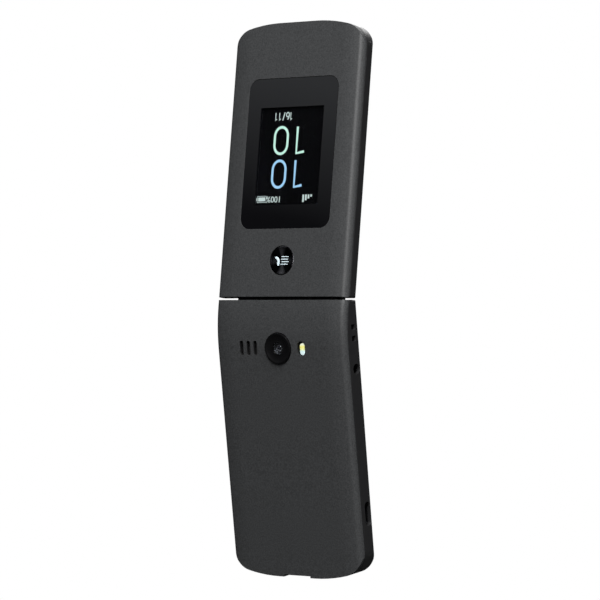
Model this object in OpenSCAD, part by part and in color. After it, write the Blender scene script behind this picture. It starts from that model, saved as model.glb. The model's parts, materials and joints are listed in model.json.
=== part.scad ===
/* [Halves] */
// Width across both halves
body_w = 57.6; // [57:0.2:61]
// Thickness of the lid, and of the base beside the hinge
half_t = 7.3; // [7.3:0.1:8]
// Hinge axis to the bottom end of the base
base_l = 98.5; // [98:0.5:104]
// Hinge axis to the top end of the lid
lid_l = 98.4; // [98.4:0.2:104]
// Angle between the inner faces when fully open
open_angle = 166.2; // [158:0.1:172]
// Width of the slit between the halves when open
slit_w = 0.54; // [0.4:0.02:0.8]
// Air between the inner faces when closed
closed_gap = 0.4; // [0.4:0.05:0.6]

/* [Casing shape] */
// Rise of the base's rear above its hinge end
hump_rise = 2.4; // [2.3:0.1:3]
// Hinge axis to the crest of that rise
hump_z = 16.1; // [14:0.1:20]
// Fall of the rear from the crest to the bottom end
tail_fall = 0.85; // [0.4:0.05:1]
// Half width of the flat of each outer face
crown_x = 20; // [18:0.5:21]
// Radius of the crowned shoulders beside that flat
crown_r = 35; // [30:1:50]
// Radius of the long outer edges
edge_r = 2.7; // [2.4:0.1:3]
// Radius of the long inner edges
inner_edge_r = 1.2; // [0.8:0.1:1.3]
// Radius of the corners at the far ends
corner_r = 9; // [8:0.5:9.5]
// Radius of the bow of the far ends
bow_r = 60; // [50:1:90]
// Half width of the straight middle of the far ends
bow_flat = 8; // [7:0.5:10]
// Radius of the corners beside the slit
slit_corner_r = 0.9; // [0.5:0.1:1.5]
// Depth of the parting line below the base's rear face
base_seam_d = 2.75; // [2.5:0.05:3]
// Depth of the parting line below the lid's outer face
lid_seam_d = 3.05; // [2.8:0.05:3.2]
// Width of both parting lines
seam_w = 0.15; // [0.1:0.01:0.3]
// Thickness of the side walls
wall = 1.4; // [1.2:0.1:1.5]
// Thickness of the keypad face
face_t = 1; // [0.8:0.1:1.1]
// Thickness of the rear cover and of the lid's outer case
cover_t = 1.2; // [1:0.05:1.3]
// Length of the solid blocks beside the hinge
hinge_block = 6; // [5.6:0.1:6.2]

/* [Hinge] */
// Radius of the hinge barrel and its knuckles
barrel_r = 3.9; // [3.7:0.1:4]
// Casing beside each knuckle
hinge_side = 7.8; // [6:0.1:9]
// Length of each end knuckle of the base
knuckle_l = 8; // [6:0.5:9]
// Air between the barrel and the other half
barrel_air = 0.2; // [0.15:0.05:0.3]
// Air between the barrel's ends and the knuckles
knuckle_air = 0.15; // [0.1:0.05:0.3]
// Radius of the cam cartridge in the barrel
cartridge_r = 2.45; // [2.2:0.05:2.6]
// Length of the cam cartridge
cartridge_l = 13.7; // [10:0.1:13.8]
// Radius of the cartridge's output shaft
shaft_r = 1.5; // [1.2:0.1:1.8]
// Length of that shaft inside the knuckle
shaft_l = 5.5; // [3:0.5:5.8]
// Radius of the hollow pin on the other side
pin_r = 1.9; // [1.6:0.1:2]
// Radius of the way for the cable through that pin
pin_bore_r = 1.1; // [0.8:0.1:1.2]
// Length of that pin inside the barrel
pin_in = 4.4; // [3:0.1:4.5]
// Running clearance of shaft and pin
run_air = 0.05; // [0.03:0.01:0.08]
// Clearance of a piece pressed or seated in its own half
seat_air = 0.02; // [0.01:0.01:0.04]

/* [Rear of the base] */
// Radius of the camera ring
ring_r = 5.54; // [5:0.02:6]
// Height of the camera ring above the crest
ring_proud = 0.8; // [0.4:0.1:1]
// Radius of the ring's bore round the lens barrel
ring_bore_r = 3.1; // [3:0.1:3.3]
// Radius of the camera's window glass
lens_r = 2.2; // [1.8:0.1:2.4]
// Hinge axis to the centre of camera, slots and flash
camera_z = 16.3; // [15.8:0.1:17]
// Centre to centre of the speaker slots
slot_pitch = 3.05; // [2.8:0.05:3.2]
// Width of a speaker slot
slot_w = 1.55; // [1.2:0.05:1.8]
// Length of a speaker slot
slot_l = 5.2; // [4:0.1:6]
// Number of speaker slots
slot_n = 3; // [2:1:3]
// Casing side to the middle speaker slot
slot_side = 15.45; // [14.8:0.05:15.8]
// Side offset of the flash
flash_x = 10.05; // [9.5:0.05:11]
// Width of the flash slot
flash_w = 3.25; // [2.6:0.05:3.6]
// Length of the flash slot
flash_l = 5.15; // [4:0.05:6]
// Depth of the flash lens below the rear face
flash_sunk = 1; // [0.6:0.1:1.1]
// Width of the pry notch at the bottom edge
notch_w = 11.6; // [8:0.2:14]
// Depth of the pry notch into the edge
notch_d = 0.8; // [0.4:0.1:0.9]
// Air round what passes through or sits in an opening
fit_air = 0.11; // [0.08:0.01:0.15]

/* [Sides of the base] */
// Radius of the headset jack's bore
jack_r = 1.8; // [1.78:0.01:1.85]
// Hinge axis to the jack
jack_z = 24.2; // [24:0.1:24.4]
// Jack centre in front of the closed plane's outer side
jack_y = 3.3; // [3.25:0.05:3.4]
// Depth of the headset jack's bore
jack_depth = 13.4; // [13:0.1:13.8]
// Width of the jack socket's body
jack_body = 4.8; // [4.5:0.1:5]
// Hinge axis to the charging port
port_z = 75.4; // [74:0.1:77]
// Charging port centre from the closed plane
port_y = 2.9; // [2.85:0.05:3]
// Length of the port's opening
port_l = 8.4; // [8.2:0.1:9]
// Width of the port's opening
port_w = 3; // [2.9:0.1:3.1]
// Depth of the charging socket
port_depth = 5; // [4.6:0.1:5]
// Hinge axis to the first strap hole's centre
strap_z = 9.45; // [9.4:0.05:10]
// Centre to centre of the strap holes
strap_pitch = 4.05; // [3.8:0.05:4.4]
// Length of a strap hole
strap_l = 1.9; // [1.6:0.1:2]
// Width of a strap hole
strap_w = 2.2; // [1.8:0.1:2.4]
// Strap hole centre from the closed plane
strap_y = 3.4; // [3.2:0.1:3.4]
// Length of the volume rocker
rocker_l = 17; // [14:0.5:18]
// Width of the volume rocker
rocker_w = 2.4; // [2:0.1:2.6]
// Height of the rocker above the side
rocker_proud = 0.4; // [0.2:0.1:0.6]
// Travel of the volume rocker
rocker_travel = 0.3; // [0.2:0.05:0.3]

/* [Keypad] */
// Height of the keys above the keypad face
key_proud = 0.2; // [0:0.05:0.25]
// Travel of every key
key_travel = 0.3; // [0.2:0.05:0.35]
// Air round each key
key_air = 0.25; // [0.2:0.05:0.3]
// Corner radius of the keys
key_r = 1.6; // [0.8:0.1:2.4]
// Casing side to the number keys
pad_side = 7; // [6.8:0.1:8]
// Number keys to the bottom end of the base
pad_end = 11.6; // [11.4:0.1:13]
// Hinge axis to the near edge of the number keys
pad_start = 45.7; // [45.6:0.1:47]
// Gap between neighbouring columns of keys
column_gap = 1.4; // [1.3:0.1:2]
// Gap between neighbouring rows of keys
row_gap = 1.2; // [1.1:0.1:1.8]
// Height of the small keys above the numbers
small_h = 6; // [5:0.1:6.2]
// Gap between the small keys and the numbers
small_gap = 2.2; // [2:0.1:2.4]
// Casing side to the keys beside the ring
side_edge = 2.8; // [2.7:0.1:4]
// Gap between those keys and the ring
side_gap = 2; // [1.5:0.1:3]
// Height of the four keys beside the ring
side_h = 7.4; // [6:0.1:7.5]
// Distance of those keys above and below the ring's centre
side_dz = 7.2; // [7.1:0.1:7.4]
// Width and height of the navigation ring
nav_w = 22; // [20:0.1:22.2]
// Corner radius of the navigation ring
nav_corner_r = 7; // [4:0.5:9]
// Radius of the OK key
ok_r = 5; // [4:0.1:5.5]

/* [Inside of the base] */
// Thickness of the dome sheet
sheet_t = 0.15; // [0.1:0.01:0.15]
// Height of a dome
dome_h = 0.15; // [0.1:0.01:0.2]
// Radius of a dome
dome_r = 2; // [1.5:0.1:2.2]
// Thickness of the main board
board_t = 0.7; // [0.6:0.05:0.7]
// Casing side to the main board
board_side = 6.6; // [6.4:0.1:7.2]
// Thickness of the chassis floor
floor_t = 0.5; // [0.4:0.05:0.5]
// Thickness of the chassis walls
rail_t = 0.8; // [0.6:0.1:0.9]
// Casing side to the battery
battery_side = 8.8; // [8.6:0.1:10]
// Battery to the bottom end of the base
battery_end = 8.3; // [8.3:0.1:12]
// Thickness of the battery
battery_t = 3.3; // [2.8:0.1:3.3]
// Hinge axis to the battery's upper edge
battery_z = 38.2; // [38:0.1:38.4]
// Clearance round the battery
battery_air = 0.3; // [0.2:0.05:0.4]
// Radius of the screw heads
head_r = 1.3; // [1:0.1:1.4]
// Height of the screw heads
head_h = 0.7; // [0.5:0.05:0.75]
// Radius of the screw shanks
shank_r = 0.65; // [0.5:0.05:0.75]
// Radius of the screw bosses
boss_r = 1.8; // [1.5:0.1:1.9]

/* [Lid] */
// Thickness of the screen face
lid_face_t = 1.4; // [1.3:0.05:1.4]
// Casing side to the outer window
win_side = 9.05; // [8.5:0.05:10]
// Hinge axis to the outer window
win_start = 24.3; // [23.5:0.1:25]
// Outer window to the top end of the lid
win_end = 20.1; // [19:0.1:21]
// Corner radius of the outer window
win_r = 4; // [2:0.1:6]
// Thickness of the outer window
win_t = 1; // [0.8:0.05:1]
// Outer display's centre below that of its window
lcd_drop = 1; // [0:0.1:1.5]
// Window beyond each side of the outer display module
lcd_side = 2.75; // [2.5:0.05:3.5]
// Window beyond the ends of that module, on average
lcd_end = 4.5; // [4:0.1:5.5]
// Thickness of the outer display module
lcd_t = 1.3; // [1:0.05:1.3]
// Radius of the round lid button
button_r = 5.2; // [4.6:0.05:5.4]
// Hinge axis to the lid button
button_z = 12.9; // [12.8:0.1:13.5]
// Travel of the lid button
button_travel = 0.3; // [0.2:0.05:0.3]
// Casing side to the inner window
glass_side = 3.4; // [3.3:0.1:4.5]
// Hinge axis to the inner window's near edge
glass_z = 7.5; // [7.4:0.1:8]
// Inner window to the top end of the lid
glass_end = 7.5; // [7.4:0.1:9]
// Thickness of the inner window
glass_t = 0.7; // [0.6:0.05:0.75]
// Inner window beyond each side of the picture
screen_side = 1; // [0.9:0.1:2]
// Inner window below the picture
screen_below = 7; // [6:0.1:8]
// Inner window above the picture
screen_above = 11.4; // [11:0.1:13]
// Thickness of the main display module
screen_t = 1.8; // [1.4:0.05:1.8]
// Thickness of the lid plate
plate_t = 0.4; // [0.3:0.05:0.4]
// Radius of the rubber bumpers
bumper_r = 1.6; // [1.5:0.1:1.7]
// Length of the earpiece slot
ear_l = 10; // [7:0.5:11]
// Width of the earpiece slot
ear_w = 1.2; // [0.8:0.1:1.3]

/* [Hidden] */
$fn = 48;

// Colours of the finishes
cover_c = [0.20, 0.20, 0.21];
frame_c = [0.13, 0.13, 0.14];
gloss_c = [0.03, 0.03, 0.035];
key_c = [0.16, 0.16, 0.17];
steel_c = [0.72, 0.72, 0.74];
board_c = [0.08, 0.32, 0.18];
rubber_c = [0.10, 0.10, 0.10];

// Sizes that follow the casing's width and the halves' lengths
barrel_l = body_w - 2 * (hinge_side + knuckle_l + knuckle_air);
slot_x = body_w / 2 - slot_side;
key_w = (body_w - 2 * pad_side - 2 * column_gap) / 3;
key_h = (base_l - pad_start - pad_end - 3 * row_gap) / 4;
column_dx = key_w + column_gap;
row_dz = key_h + row_gap;
row_z = pad_start + key_h / 2;
small_z = pad_start - small_gap - small_h / 2;
side_w = body_w / 2 - side_edge - side_gap - nav_w / 2;
side_x = body_w / 2 - side_edge - side_w / 2;
board_x = body_w / 2 - board_side;
battery_w = body_w - 2 * battery_side;
battery_l = base_l - battery_z - battery_end;
win_w = body_w - 2 * win_side;
win_h = lid_l - win_start - win_end;
win_z = win_start + win_h / 2;
lcd_w = win_w - 2 * lcd_side;
lcd_h = win_h - 2 * lcd_end;
lcd_z = win_z - lcd_drop;
glass_w = body_w - 2 * glass_side;
glass_h = lid_l - glass_z - glass_end;
screen_w = glass_w - 2 * screen_side;
screen_h = glass_h - screen_below - screen_above;
screen_z = glass_z + screen_below + screen_h / 2;

// Lid and base each tip away from the slit plane by this angle when open
slit_tilt = (180 - open_angle) / 2;
// Place of the hinge axis: the bottom end's middle is the origin
hinge_h = base_l;
base_t = half_t + hump_rise;
end_t = base_t - tail_fall;
hinge_y = -(closed_gap / 2 + end_t) / 2;

// Depths from the closed plane towards the outer face, shared by both halves
face_y = closed_gap / 2;
under_face = face_y + face_t;
touch = 0.05;
key_top = face_y - key_proud;
key_flange_t = 0.4;
key_flange_y = under_face + 2 * touch;
key_flange_out = key_air + touch;
nub_l = 0.2;
nub_r = 1;
nub_end = key_flange_y + key_flange_t + nub_l;
dome_top = nub_end + key_travel + touch;
sheet_y = dome_top + dome_h;
board_y = sheet_y + sheet_t + touch;
board_back = board_y + board_t;
floor_y = board_back + touch;
battery_y = floor_y + floor_t + 2 * touch;
rail_top = battery_y + battery_t + touch;
deck_top = rail_top + 0.2;
deck_t = 0.6;
deck_y = deck_top - deck_t;

// Arc of the base's rear, from the slit over the crest
slit_rise = half_t * tan(slit_tilt);
hump_dz = hump_z + slit_rise;
hump_r = (hump_dz * hump_dz + hump_rise * hump_rise) / (2 * hump_rise);
hump_y = base_t - hump_r;
tail_a = atan(tail_fall / (base_l - hump_z));
hump_a = asin(hump_dz / hump_r) + tail_a + 2;
over = 1;

// Centres of the bow and corner arcs of the far ends, for a half of length l
corner_x = body_w / 2 - corner_r;
corner_in = bow_r - sqrt(pow(bow_r - corner_r, 2) - pow(corner_x - bow_flat, 2));
bow_a = asin((corner_x - bow_flat) / (bow_r - corner_r));

// Centre and angle of the long edge round where it meets the crown
edge_x = body_w / 2 - edge_r;
edge_d = crown_r - sqrt(pow(crown_r - edge_r, 2) - pow(edge_x - crown_x, 2));
crown_a = asin((edge_x - crown_x) / (crown_r - edge_r));

// Hinge places along X
knuckle_x = barrel_l / 2 + knuckle_air;
knuckle_end = knuckle_x + knuckle_l;
cut_end = knuckle_end + knuckle_air;
cartridge_x1 = barrel_l / 2 - knuckle_air;
cartridge_x0 = cartridge_x1 - cartridge_l;
pin_x1 = -barrel_l / 2 + pin_in;
flex_x0 = pin_x1 + 0.4;
flex_x1 = cartridge_x0 - 1.2;
flex_w = flex_x1 - flex_x0;
flex_t = 0.2;
flex_r = pin_r - 0.4;

// Place of a far corner's screw, its ear just inside the corner's wall
function far_screw(l) = let (r = corner_r - wall - boss_r - 0.6)
    [corner_x + r * cos(68), l - corner_in + r * sin(68)];

// Screws: side offset and distance from the hinge, base then lid
base_screw_at = [
    [body_w / 2 - 10.8, hinge_block + 3.2], [body_w / 2 - 4.4, battery_z + 1.3],
    far_screw(base_l)
];
lid_screw_near = [body_w / 2 - 3.6, 4.2];
lid_screw_far = far_screw(lid_l);
pilot_air = 0.03;
ear_r = boss_r + 0.4;
ear_h = 1.65;
screw_tip = under_face + 0.4;
pilot_end = under_face + 0.2;

// Layers of the lid
lid_seam = half_t - lid_seam_d;
lid_back = face_y + lid_face_t;
glass_y = face_y + 2 * touch;
ledge_y = glass_y + glass_t + touch;
screen_y = lid_back + touch;
plate_y = screen_y + screen_t + touch;
lid_board_y = plate_y + plate_t + touch;
lid_board_t = 0.55;
win_y = half_t - win_t - 2 * touch;
ledge_t = 0.9;
lcd_y = win_y - 2 * touch - lcd_t;
button_top = half_t - 2 * touch;
button_flange = 0.8;
button_under = half_t - cover_t - 2 * touch;
button_flange_t = 0.6;
button_nub = 0.4;
screen_border = 1.5;
plate_margin = 2.6;
bumper_sunk = 0.5;
bumper_proud = 0.3;

// ---- plane shapes ----

function arc(cx, cy, r, a0, a1, n) =
    [for (i = [0:n]) let (a = a0 + (a1 - a0) * i / n) [cx + r * cos(a), cy + r * sin(a)]];

function both_sides(right) =
    concat(right, [for (i = [len(right) - 1:-1:0]) [-right[i][0], right[i][1]]]);

// Rounded rectangle about the origin
function round_box(w, h, r, n = 4) = let (x = w / 2 - r, y = h / 2 - r) concat(
    arc(x, y, r, 0, 90, n), arc(-x, y, r, 90, 180, n),
    arc(-x, -y, r, 180, 270, n), arc(x, -y, r, 270, 360, n));

// Cross section of a casing: outer face at depth t, inset d, lower side at depth y0
function section(t, d, y0) = let (
    yc = t - edge_d,
    a0 = y0 > yc ? asin((y0 - yc) / (edge_r - d)) : 0,
    foot = y0 > yc ? [] : [[body_w / 2 - d, y0]]
) both_sides(concat(foot, arc(edge_x, yc, edge_r - d, a0, 90 - crown_a, 8),
    arc(crown_x, t - crown_r, crown_r - d, 90 - crown_a, 90, 5)));

// Cross section of the inner side's casing, from its rounded inner edges up to depth y1
function inner_section(y1) = both_sides(concat(
    arc(body_w / 2 - inner_edge_r, face_y + inner_edge_r, inner_edge_r, 270, 360, 5),
    [[body_w / 2, y1]]));

// Outline of a half of length l, inset d, seen from its face
function far_outline(l, d) = concat(
    both_sides(concat(
        [[body_w / 2 - d, -10]],
        arc(corner_x, l - corner_in, corner_r - d, 0, 90 - bow_a, 12),
        arc(bow_flat, l - bow_r, bow_r - d, 90 - bow_a, 90, 5))));

// ---- placing ----

module in_base() {
    translate([0, hinge_y, hinge_h]) mirror([0, 0, 1]) children();
}

module in_lid() {
    translate([0, hinge_y, hinge_h]) rotate([2 * slit_tilt, 0, 0]) children();
}

// Plane shape drawn in x and z, from depth y0 to y1
module slab(y0, y1) {
    translate([0, y1, 0]) rotate([90, 0, 0]) linear_extrude(y1 - y0) children();
}

// Plane shape drawn in y and z, from x0 to x1
module bar(x0, x1) {
    translate([x0, 0, 0]) rotate([90, 0, 90]) linear_extrude(x1 - x0) children();
}

module disc(x, z, r, y0, y1) {
    slab(y0, y1) translate([x, z]) circle(r);
}

module rod(y, z, r, x0, x1) {
    bar(x0, x1) translate([y, z]) circle(r);
}

module box(x0, x1, y0, y1, z0, z1) {
    translate([x0, y0, z0]) cube([x1 - x0, y1 - y0, z1 - z0]);
}

module slot(x, z, w, l, y0, y1) {
    slab(y0, y1) translate([x, z]) polygon(round_box(w, l, w / 2 - 0.001, 8));
}

module both() {
    children();
    mirror([1, 0, 0]) children();
}

module at_screws(places) {
    for (p = places, s = [-1, 1]) translate([s * p[0], 0, p[1]]) children();
}

// ---- casing blanks ----

// Everything of a half inside its outline: inset d at sides and far end, near at the slit
module half_block(l, d = 0, near = slit_w / 2) {
    intersection() {
        slab(-8, 16) polygon(far_outline(l, d));
        rotate([-slit_tilt, 0, 0]) slab(-12, 20) polygon(concat(
            [[-body_w / 2, l + 10]],
            arc(-body_w / 2 + slit_corner_r, near + slit_corner_r, slit_corner_r, 180, 270, 3),
            arc(body_w / 2 - slit_corner_r, near + slit_corner_r, slit_corner_r, 270, 360, 3),
            [[body_w / 2, l + 10]]));
    }
}

// Carries a section drawn in x and y along the base's arched rear
module along_rear() {
    translate([0, hump_y, hump_z]) rotate([tail_a, 0, 0]) {
        mirror([0, 0, 1]) rotate([90, 0, 90]) rotate_extrude(angle = hump_a)
            translate([-hump_y, 0]) mirror([1, -1, 0]) children();
        linear_extrude(base_l - hump_z + over) translate([0, -hump_y]) children();
    }
}

// Everything of the base in front of its parting line
module base_front_blank() {
    depth = hump_r - base_seam_d - seam_w;
    tail_z = base_l - hump_z + 2 * over;
    intersection() {
        linear_extrude(base_l + over) polygon(inner_section(base_t));
        half_block(base_l);
        bar(-body_w, body_w) translate([hump_y, hump_z]) rotate(tail_a) polygon(concat(
            [[0, tail_z], [-hump_y - 20, tail_z], [-hump_y - 20, -hump_dz - 2]],
            arc(0, 0, depth, -hump_a, 0, 12),
            [[depth, tail_z]]));
    }
}

// ---- base ----

module key_holes() {
    for (k = keys) slab(-over, 3) translate([k[1], k[2]])
        polygon(round_box(k[3] + 2 * key_air, k[4] + 2 * key_air, k[5] + key_air));
}

module base_front_case() {
    color(frame_c) in_base() difference() {
        union() {
            difference() {
                base_front_blank();
                intersection() {
                    half_block(base_l, wall, -over);
                    box(-body_w, body_w, under_face, 16, hinge_block, base_l);
                }
                rod(0, 0, barrel_r + barrel_air, -knuckle_x, knuckle_x);
            }
            both() rod(0, 0, barrel_r, knuckle_x, knuckle_end);
            at_screws(base_screw_at) disc(0, 0, boss_r, face_y + face_t / 2, board_back);
        }
        rod(0, 0, pin_r + seat_air, -knuckle_end - over, -knuckle_x + over);
        rod(0, 0, shaft_r + run_air, knuckle_x - over, knuckle_x + shaft_l + knuckle_air);
        at_screws(base_screw_at) disc(0, 0, shank_r + pilot_air, pilot_end, board_back + over);
        key_holes();
        strap_holes();
        port_hole();
        rod(jack_y, jack_z, jack_r, -body_w / 2 - over, -body_w / 2 + wall + over);
        bar(body_w / 2 - wall - over, body_w / 2 + over) translate([rocker_y, jack_z])
            polygon(round_box(rocker_w + 2 * fit_air, rocker_l + 2 * fit_air,
                rocker_w / 2 + fit_air - 0.01));
        disc(0, mic_z, 0.5, 0, under_face + over);
    }
}

module strap_holes() {
    for (i = [0, 1]) bar(-body_w / 2 - over, -body_w / 2 + wall + over)
        translate([strap_y, strap_z + i * strap_pitch])
            polygon(round_box(strap_w, strap_l, 0.3, 2));
}

module port_hole() {
    bar(-body_w / 2 - over, -body_w / 2 + wall + over) translate([port_y, port_z])
        polygon(round_box(port_w, port_l, port_w / 2 - 0.01, 8));
}

// Holes through the rear cover, drawn in x and z
module rear_openings() {
    disc(0, camera_z, ring_r + fit_air, deck_top, base_t + over);
    for (i = [0:slot_n - 1])
        slot(slot_x + (i - (slot_n - 1) / 2) * slot_pitch, camera_z, slot_w, slot_l,
            deck_top, base_t + over);
    slot(-flash_x, camera_z, flash_w, flash_l, deck_top, base_t + over);
}

// Snap tabs under the cover's long sides, just inside the walls of the front case
tab_l = 6;
tab_at = [33, (33 + base_l - 19.5) / 2, base_l - 19.5];
tab_out = body_w / 2 - wall - touch;
tab_foot = base_t - base_seam_d;
tab_drop = 1.3;
tab_t = 0.8;

module cover_tabs() {
    intersection() {
        both() along_rear() polygon([
            [tab_out - tab_t, tab_foot - tab_drop], [tab_out - 0.3, tab_foot - tab_drop],
            [tab_out, tab_foot - tab_drop + 0.5], [tab_out, tab_foot + touch],
            [tab_out + 0.3, tab_foot + touch], [tab_out + 0.3, tab_foot + 1.4],
            [tab_out - tab_t, tab_foot + 1.4]
        ]);
        for (z = tab_at) box(-body_w, body_w, 0, base_t, z, z + tab_l);
    }
}

module rear_cover() {
    color(cover_c) in_base() union() {
        cover_shell();
        cover_tabs();
    }
}

module cover_shell() {
    difference() {
        intersection() {
            along_rear() polygon(section(base_t, 0, base_t - base_seam_d));
            half_block(base_l);
        }
        intersection() {
            along_rear() polygon(section(base_t - cover_t, 0, base_t - base_seam_d - over));
            half_block(base_l, cover_t, slit_w / 2 + cover_t);
        }
        rear_openings();
        box(-notch_w / 2, notch_w / 2, 0, base_t, base_l - notch_d, base_l + over);
    }
}

// Battery tray, the deck above it, and what sits between them
battery_z1 = battery_z + battery_l;
bay_x = battery_w / 2 + battery_air;
tray_z0 = battery_z - battery_air - rail_t;
deck_z1 = jack_z + jack_body / 2 + 0.3;
deck_x = bay_x + 0.5;
contacts_x = [battery_w / 2 - 9, battery_w / 2 - 1];
contacts_l = 3;
reader_x = 8;
reader_z0 = deck_z1 + 0.4;
reader_z1 = tray_z0 - 0.5;

module rear_chassis() {
    color(frame_c) in_base() difference() {
        union() {
            intersection() {
                half_block(base_l, wall + touch + seam_w);
                box(-body_w, body_w, floor_y, floor_y + floor_t, deck_z1 - rail_t, base_l);
            }
            difference() {
                box(-bay_x - rail_t, bay_x + rail_t, floor_y, rail_top,
                    tray_z0, battery_z1 + battery_air + rail_t);
                box(-bay_x, bay_x, floor_y - over, rail_top + over,
                    battery_z - battery_air, battery_z1 + battery_air);
            }
            difference() {
                box(-deck_x - rail_t, deck_x + rail_t, floor_y, deck_top,
                    hinge_block + 0.3, deck_z1);
                box(-deck_x, deck_x, floor_y - over, deck_y,
                    hinge_block + 0.3 + rail_t, deck_z1 - rail_t);
            }
            at_screws(base_screw_at) disc(0, 0, ear_r, floor_y, floor_y + ear_h);
        }
        at_screws(base_screw_at) disc(0, 0, shank_r + seat_air, floor_y - over, 12);
        at_screws(base_screw_at) disc(0, 0, head_r + seat_air * 5, floor_y + ear_h, 12);
        disc(0, camera_z, camera_barrel_r + fit_air, deck_y - over, 12);
        for (i = [0:slot_n - 1])
            slot(slot_x + (i - (slot_n - 1) / 2) * slot_pitch, camera_z, slot_w, slot_l,
                deck_y - over, 12);
        slot(-flash_x, camera_z, flash_w - 1, flash_l - 1, deck_y - over, 12);
        box(-body_w, -jack_x1 + fit_air, 0, jack_y + jack_t / 2 + fit_air,
            jack_z - jack_body / 2 - fit_air, jack_z + jack_body / 2 + fit_air);
        box(-body_w, -port_x1 + fit_air, 0, 12,
            port_z - port_l / 2 - fit_air, port_z + port_l / 2 + fit_air);
        box(contacts_x[0] - fit_air, contacts_x[1] + fit_air, floor_y - over, 12,
            tray_z0 - contacts_l - fit_air, battery_z - battery_air + touch);
        box(-reader_x - fit_air, reader_x + fit_air, 0, floor_y + floor_t + over,
            reader_z0 - fit_air, reader_z1 + fit_air);
        box(board_x - fit_air, body_w, 0, floor_y + floor_t + over,
            0, jack_z + rocker_l / 2 + rocker_lip + 2 * fit_air);
    }
}

camera_barrel_r = ring_bore_r - fit_air;
camera_body = 8.5;
ring_top = base_t + ring_proud;
lens_y = ring_top - 1.2;

module camera_ring() {
    color(gloss_c) in_base() difference() {
        disc(0, camera_z, ring_r, deck_top, ring_top);
        disc(0, camera_z, ring_bore_r, deck_top - over, lens_y - 0.3);
        disc(0, camera_z, lens_r + seat_air, lens_y - 0.6, ring_top + over);
        translate([0, ring_top, camera_z]) rotate([90, 0, 0])
            translate([0, 0, -0.01]) cylinder(h = 0.7, r1 = ring_r - 0.6, r2 = lens_r);
    }
}

module camera_lens() {
    color([0.05, 0.06, 0.09]) in_base() disc(0, camera_z, lens_r, lens_y - 0.35, lens_y);
}

module camera_module() {
    half = camera_body / 2;
    color([0.06, 0.06, 0.07]) in_base() {
        box(-half, half, board_back + touch, deck_y - touch, camera_z - half, camera_z + half);
        disc(0, camera_z, camera_barrel_r, deck_y - touch, lens_y - 0.35 - touch);
    }
}

module flash_lens() {
    color([0.95, 0.92, 0.7]) in_base()
        slot(-flash_x, camera_z, flash_w - 2 * fit_air, flash_l - 2 * fit_air,
            deck_top, base_t - flash_sunk);
}

module speaker_mesh() {
    w = (slot_n - 1) * slot_pitch + slot_w + 2;
    color(rubber_c) in_base() slab(deck_top, deck_top + 0.15)
        translate([slot_x, camera_z]) polygon(round_box(w, slot_l + 2, 1));
}

module speaker() {
    half = 6;
    color([0.25, 0.25, 0.26]) in_base()
        slab(board_back + touch, deck_y - touch) translate([slot_x, camera_z + 1.4])
            polygon(round_box(2 * half, 2 * half, 1.5));
}

jack_t = 4.1;
jack_x0 = body_w / 2 - wall - touch;
jack_x1 = body_w / 2 - jack_depth - 0.7;

module headset_jack() {
    color(gloss_c) in_base() difference() {
        box(-jack_x0, -jack_x1, jack_y - jack_t / 2, jack_y + jack_t / 2,
            jack_z - jack_body / 2, jack_z + jack_body / 2);
        rod(jack_y, jack_z, jack_r, -body_w, -body_w / 2 + jack_depth);
    }
}

port_shell = 0.3;
port_x0 = body_w / 2 - wall - touch;
port_x1 = port_x0 - port_depth;

module charging_socket() {
    color(steel_c) in_base() difference() {
        bar(-port_x0, -port_x1) translate([port_y, port_z])
            polygon(round_box(port_w - 0.3, port_l - 0.8, 0.9));
        bar(-body_w, -port_x1 - port_shell) translate([port_y, port_z]) difference() {
            polygon(round_box(port_w - 0.3 - 2 * port_shell, port_l - 0.8 - 2 * port_shell, 0.7));
            square([0.6, port_l - 3.4], center = true);
        }
    }
}

board_z0 = hinge_block + 6.2;
board_z1 = base_l - 7.3;

module main_board() {
    color(board_c) in_base() difference() {
        slab(board_y, board_back) translate([0, (board_z0 + board_z1) / 2])
            polygon(round_box(2 * board_x, board_z1 - board_z0, 1.5));
        box(-body_w, -jack_x1 + fit_air, 0, 12,
            jack_z - jack_body / 2 - fit_air, jack_z + jack_body / 2 + fit_air);
        box(-body_w, -port_x1 + fit_air, 0, 12,
            port_z - port_l / 2 - fit_air, port_z + port_l / 2 + fit_air);
    }
}

module dome_sheet() {
    color([0.8, 0.8, 0.78]) in_base() {
        difference() {
            slab(sheet_y, sheet_y + sheet_t) translate([0, (board_z0 + board_z1) / 2])
                polygon(round_box(2 * board_x - 1, board_z1 - board_z0 - 1, 1.5));
            box(-body_w, -jack_x1 + fit_air, 0, 12,
                jack_z - jack_body / 2 - fit_air, jack_z + jack_body / 2 + fit_air);
        }
        for (k = keys, p = nubs_of(k)) disc(p[0], p[1], dome_r, dome_top, sheet_y + touch);
    }
}

module battery() {
    color([0.1, 0.1, 0.12]) in_base()
        slab(battery_y, battery_y + battery_t) translate([0, battery_z + battery_l / 2])
            polygon(round_box(battery_w, battery_l, 1.5));
}

module battery_contacts() {
    pitch = (contacts_x[1] - contacts_x[0]) / 3;
    color([0.85, 0.7, 0.35]) in_base() {
        box(contacts_x[0], contacts_x[1], floor_y, floor_y + 2.4,
            tray_z0 - contacts_l, tray_z0 + 0.2);
        for (i = [0:2]) box(contacts_x[0] + (i + 0.25) * pitch, contacts_x[0] + (i + 0.75) * pitch,
            floor_y + 0.9, floor_y + 1.9, tray_z0, battery_z - 0.1);
    }
}

module card_reader() {
    color(steel_c) in_base() difference() {
        box(-reader_x, reader_x, floor_y, floor_y + 1.4, reader_z0, reader_z1);
        box(-reader_x + 1, reader_x - 1, floor_y + 0.3, floor_y + 1.1,
            reader_z0 + 0.8, reader_z1 + over);
        box(-reader_x + 4, reader_x - 4, floor_y + 0.5, floor_y + 2,
            reader_z1 - 2.5, reader_z1 + over);
    }
}

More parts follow.
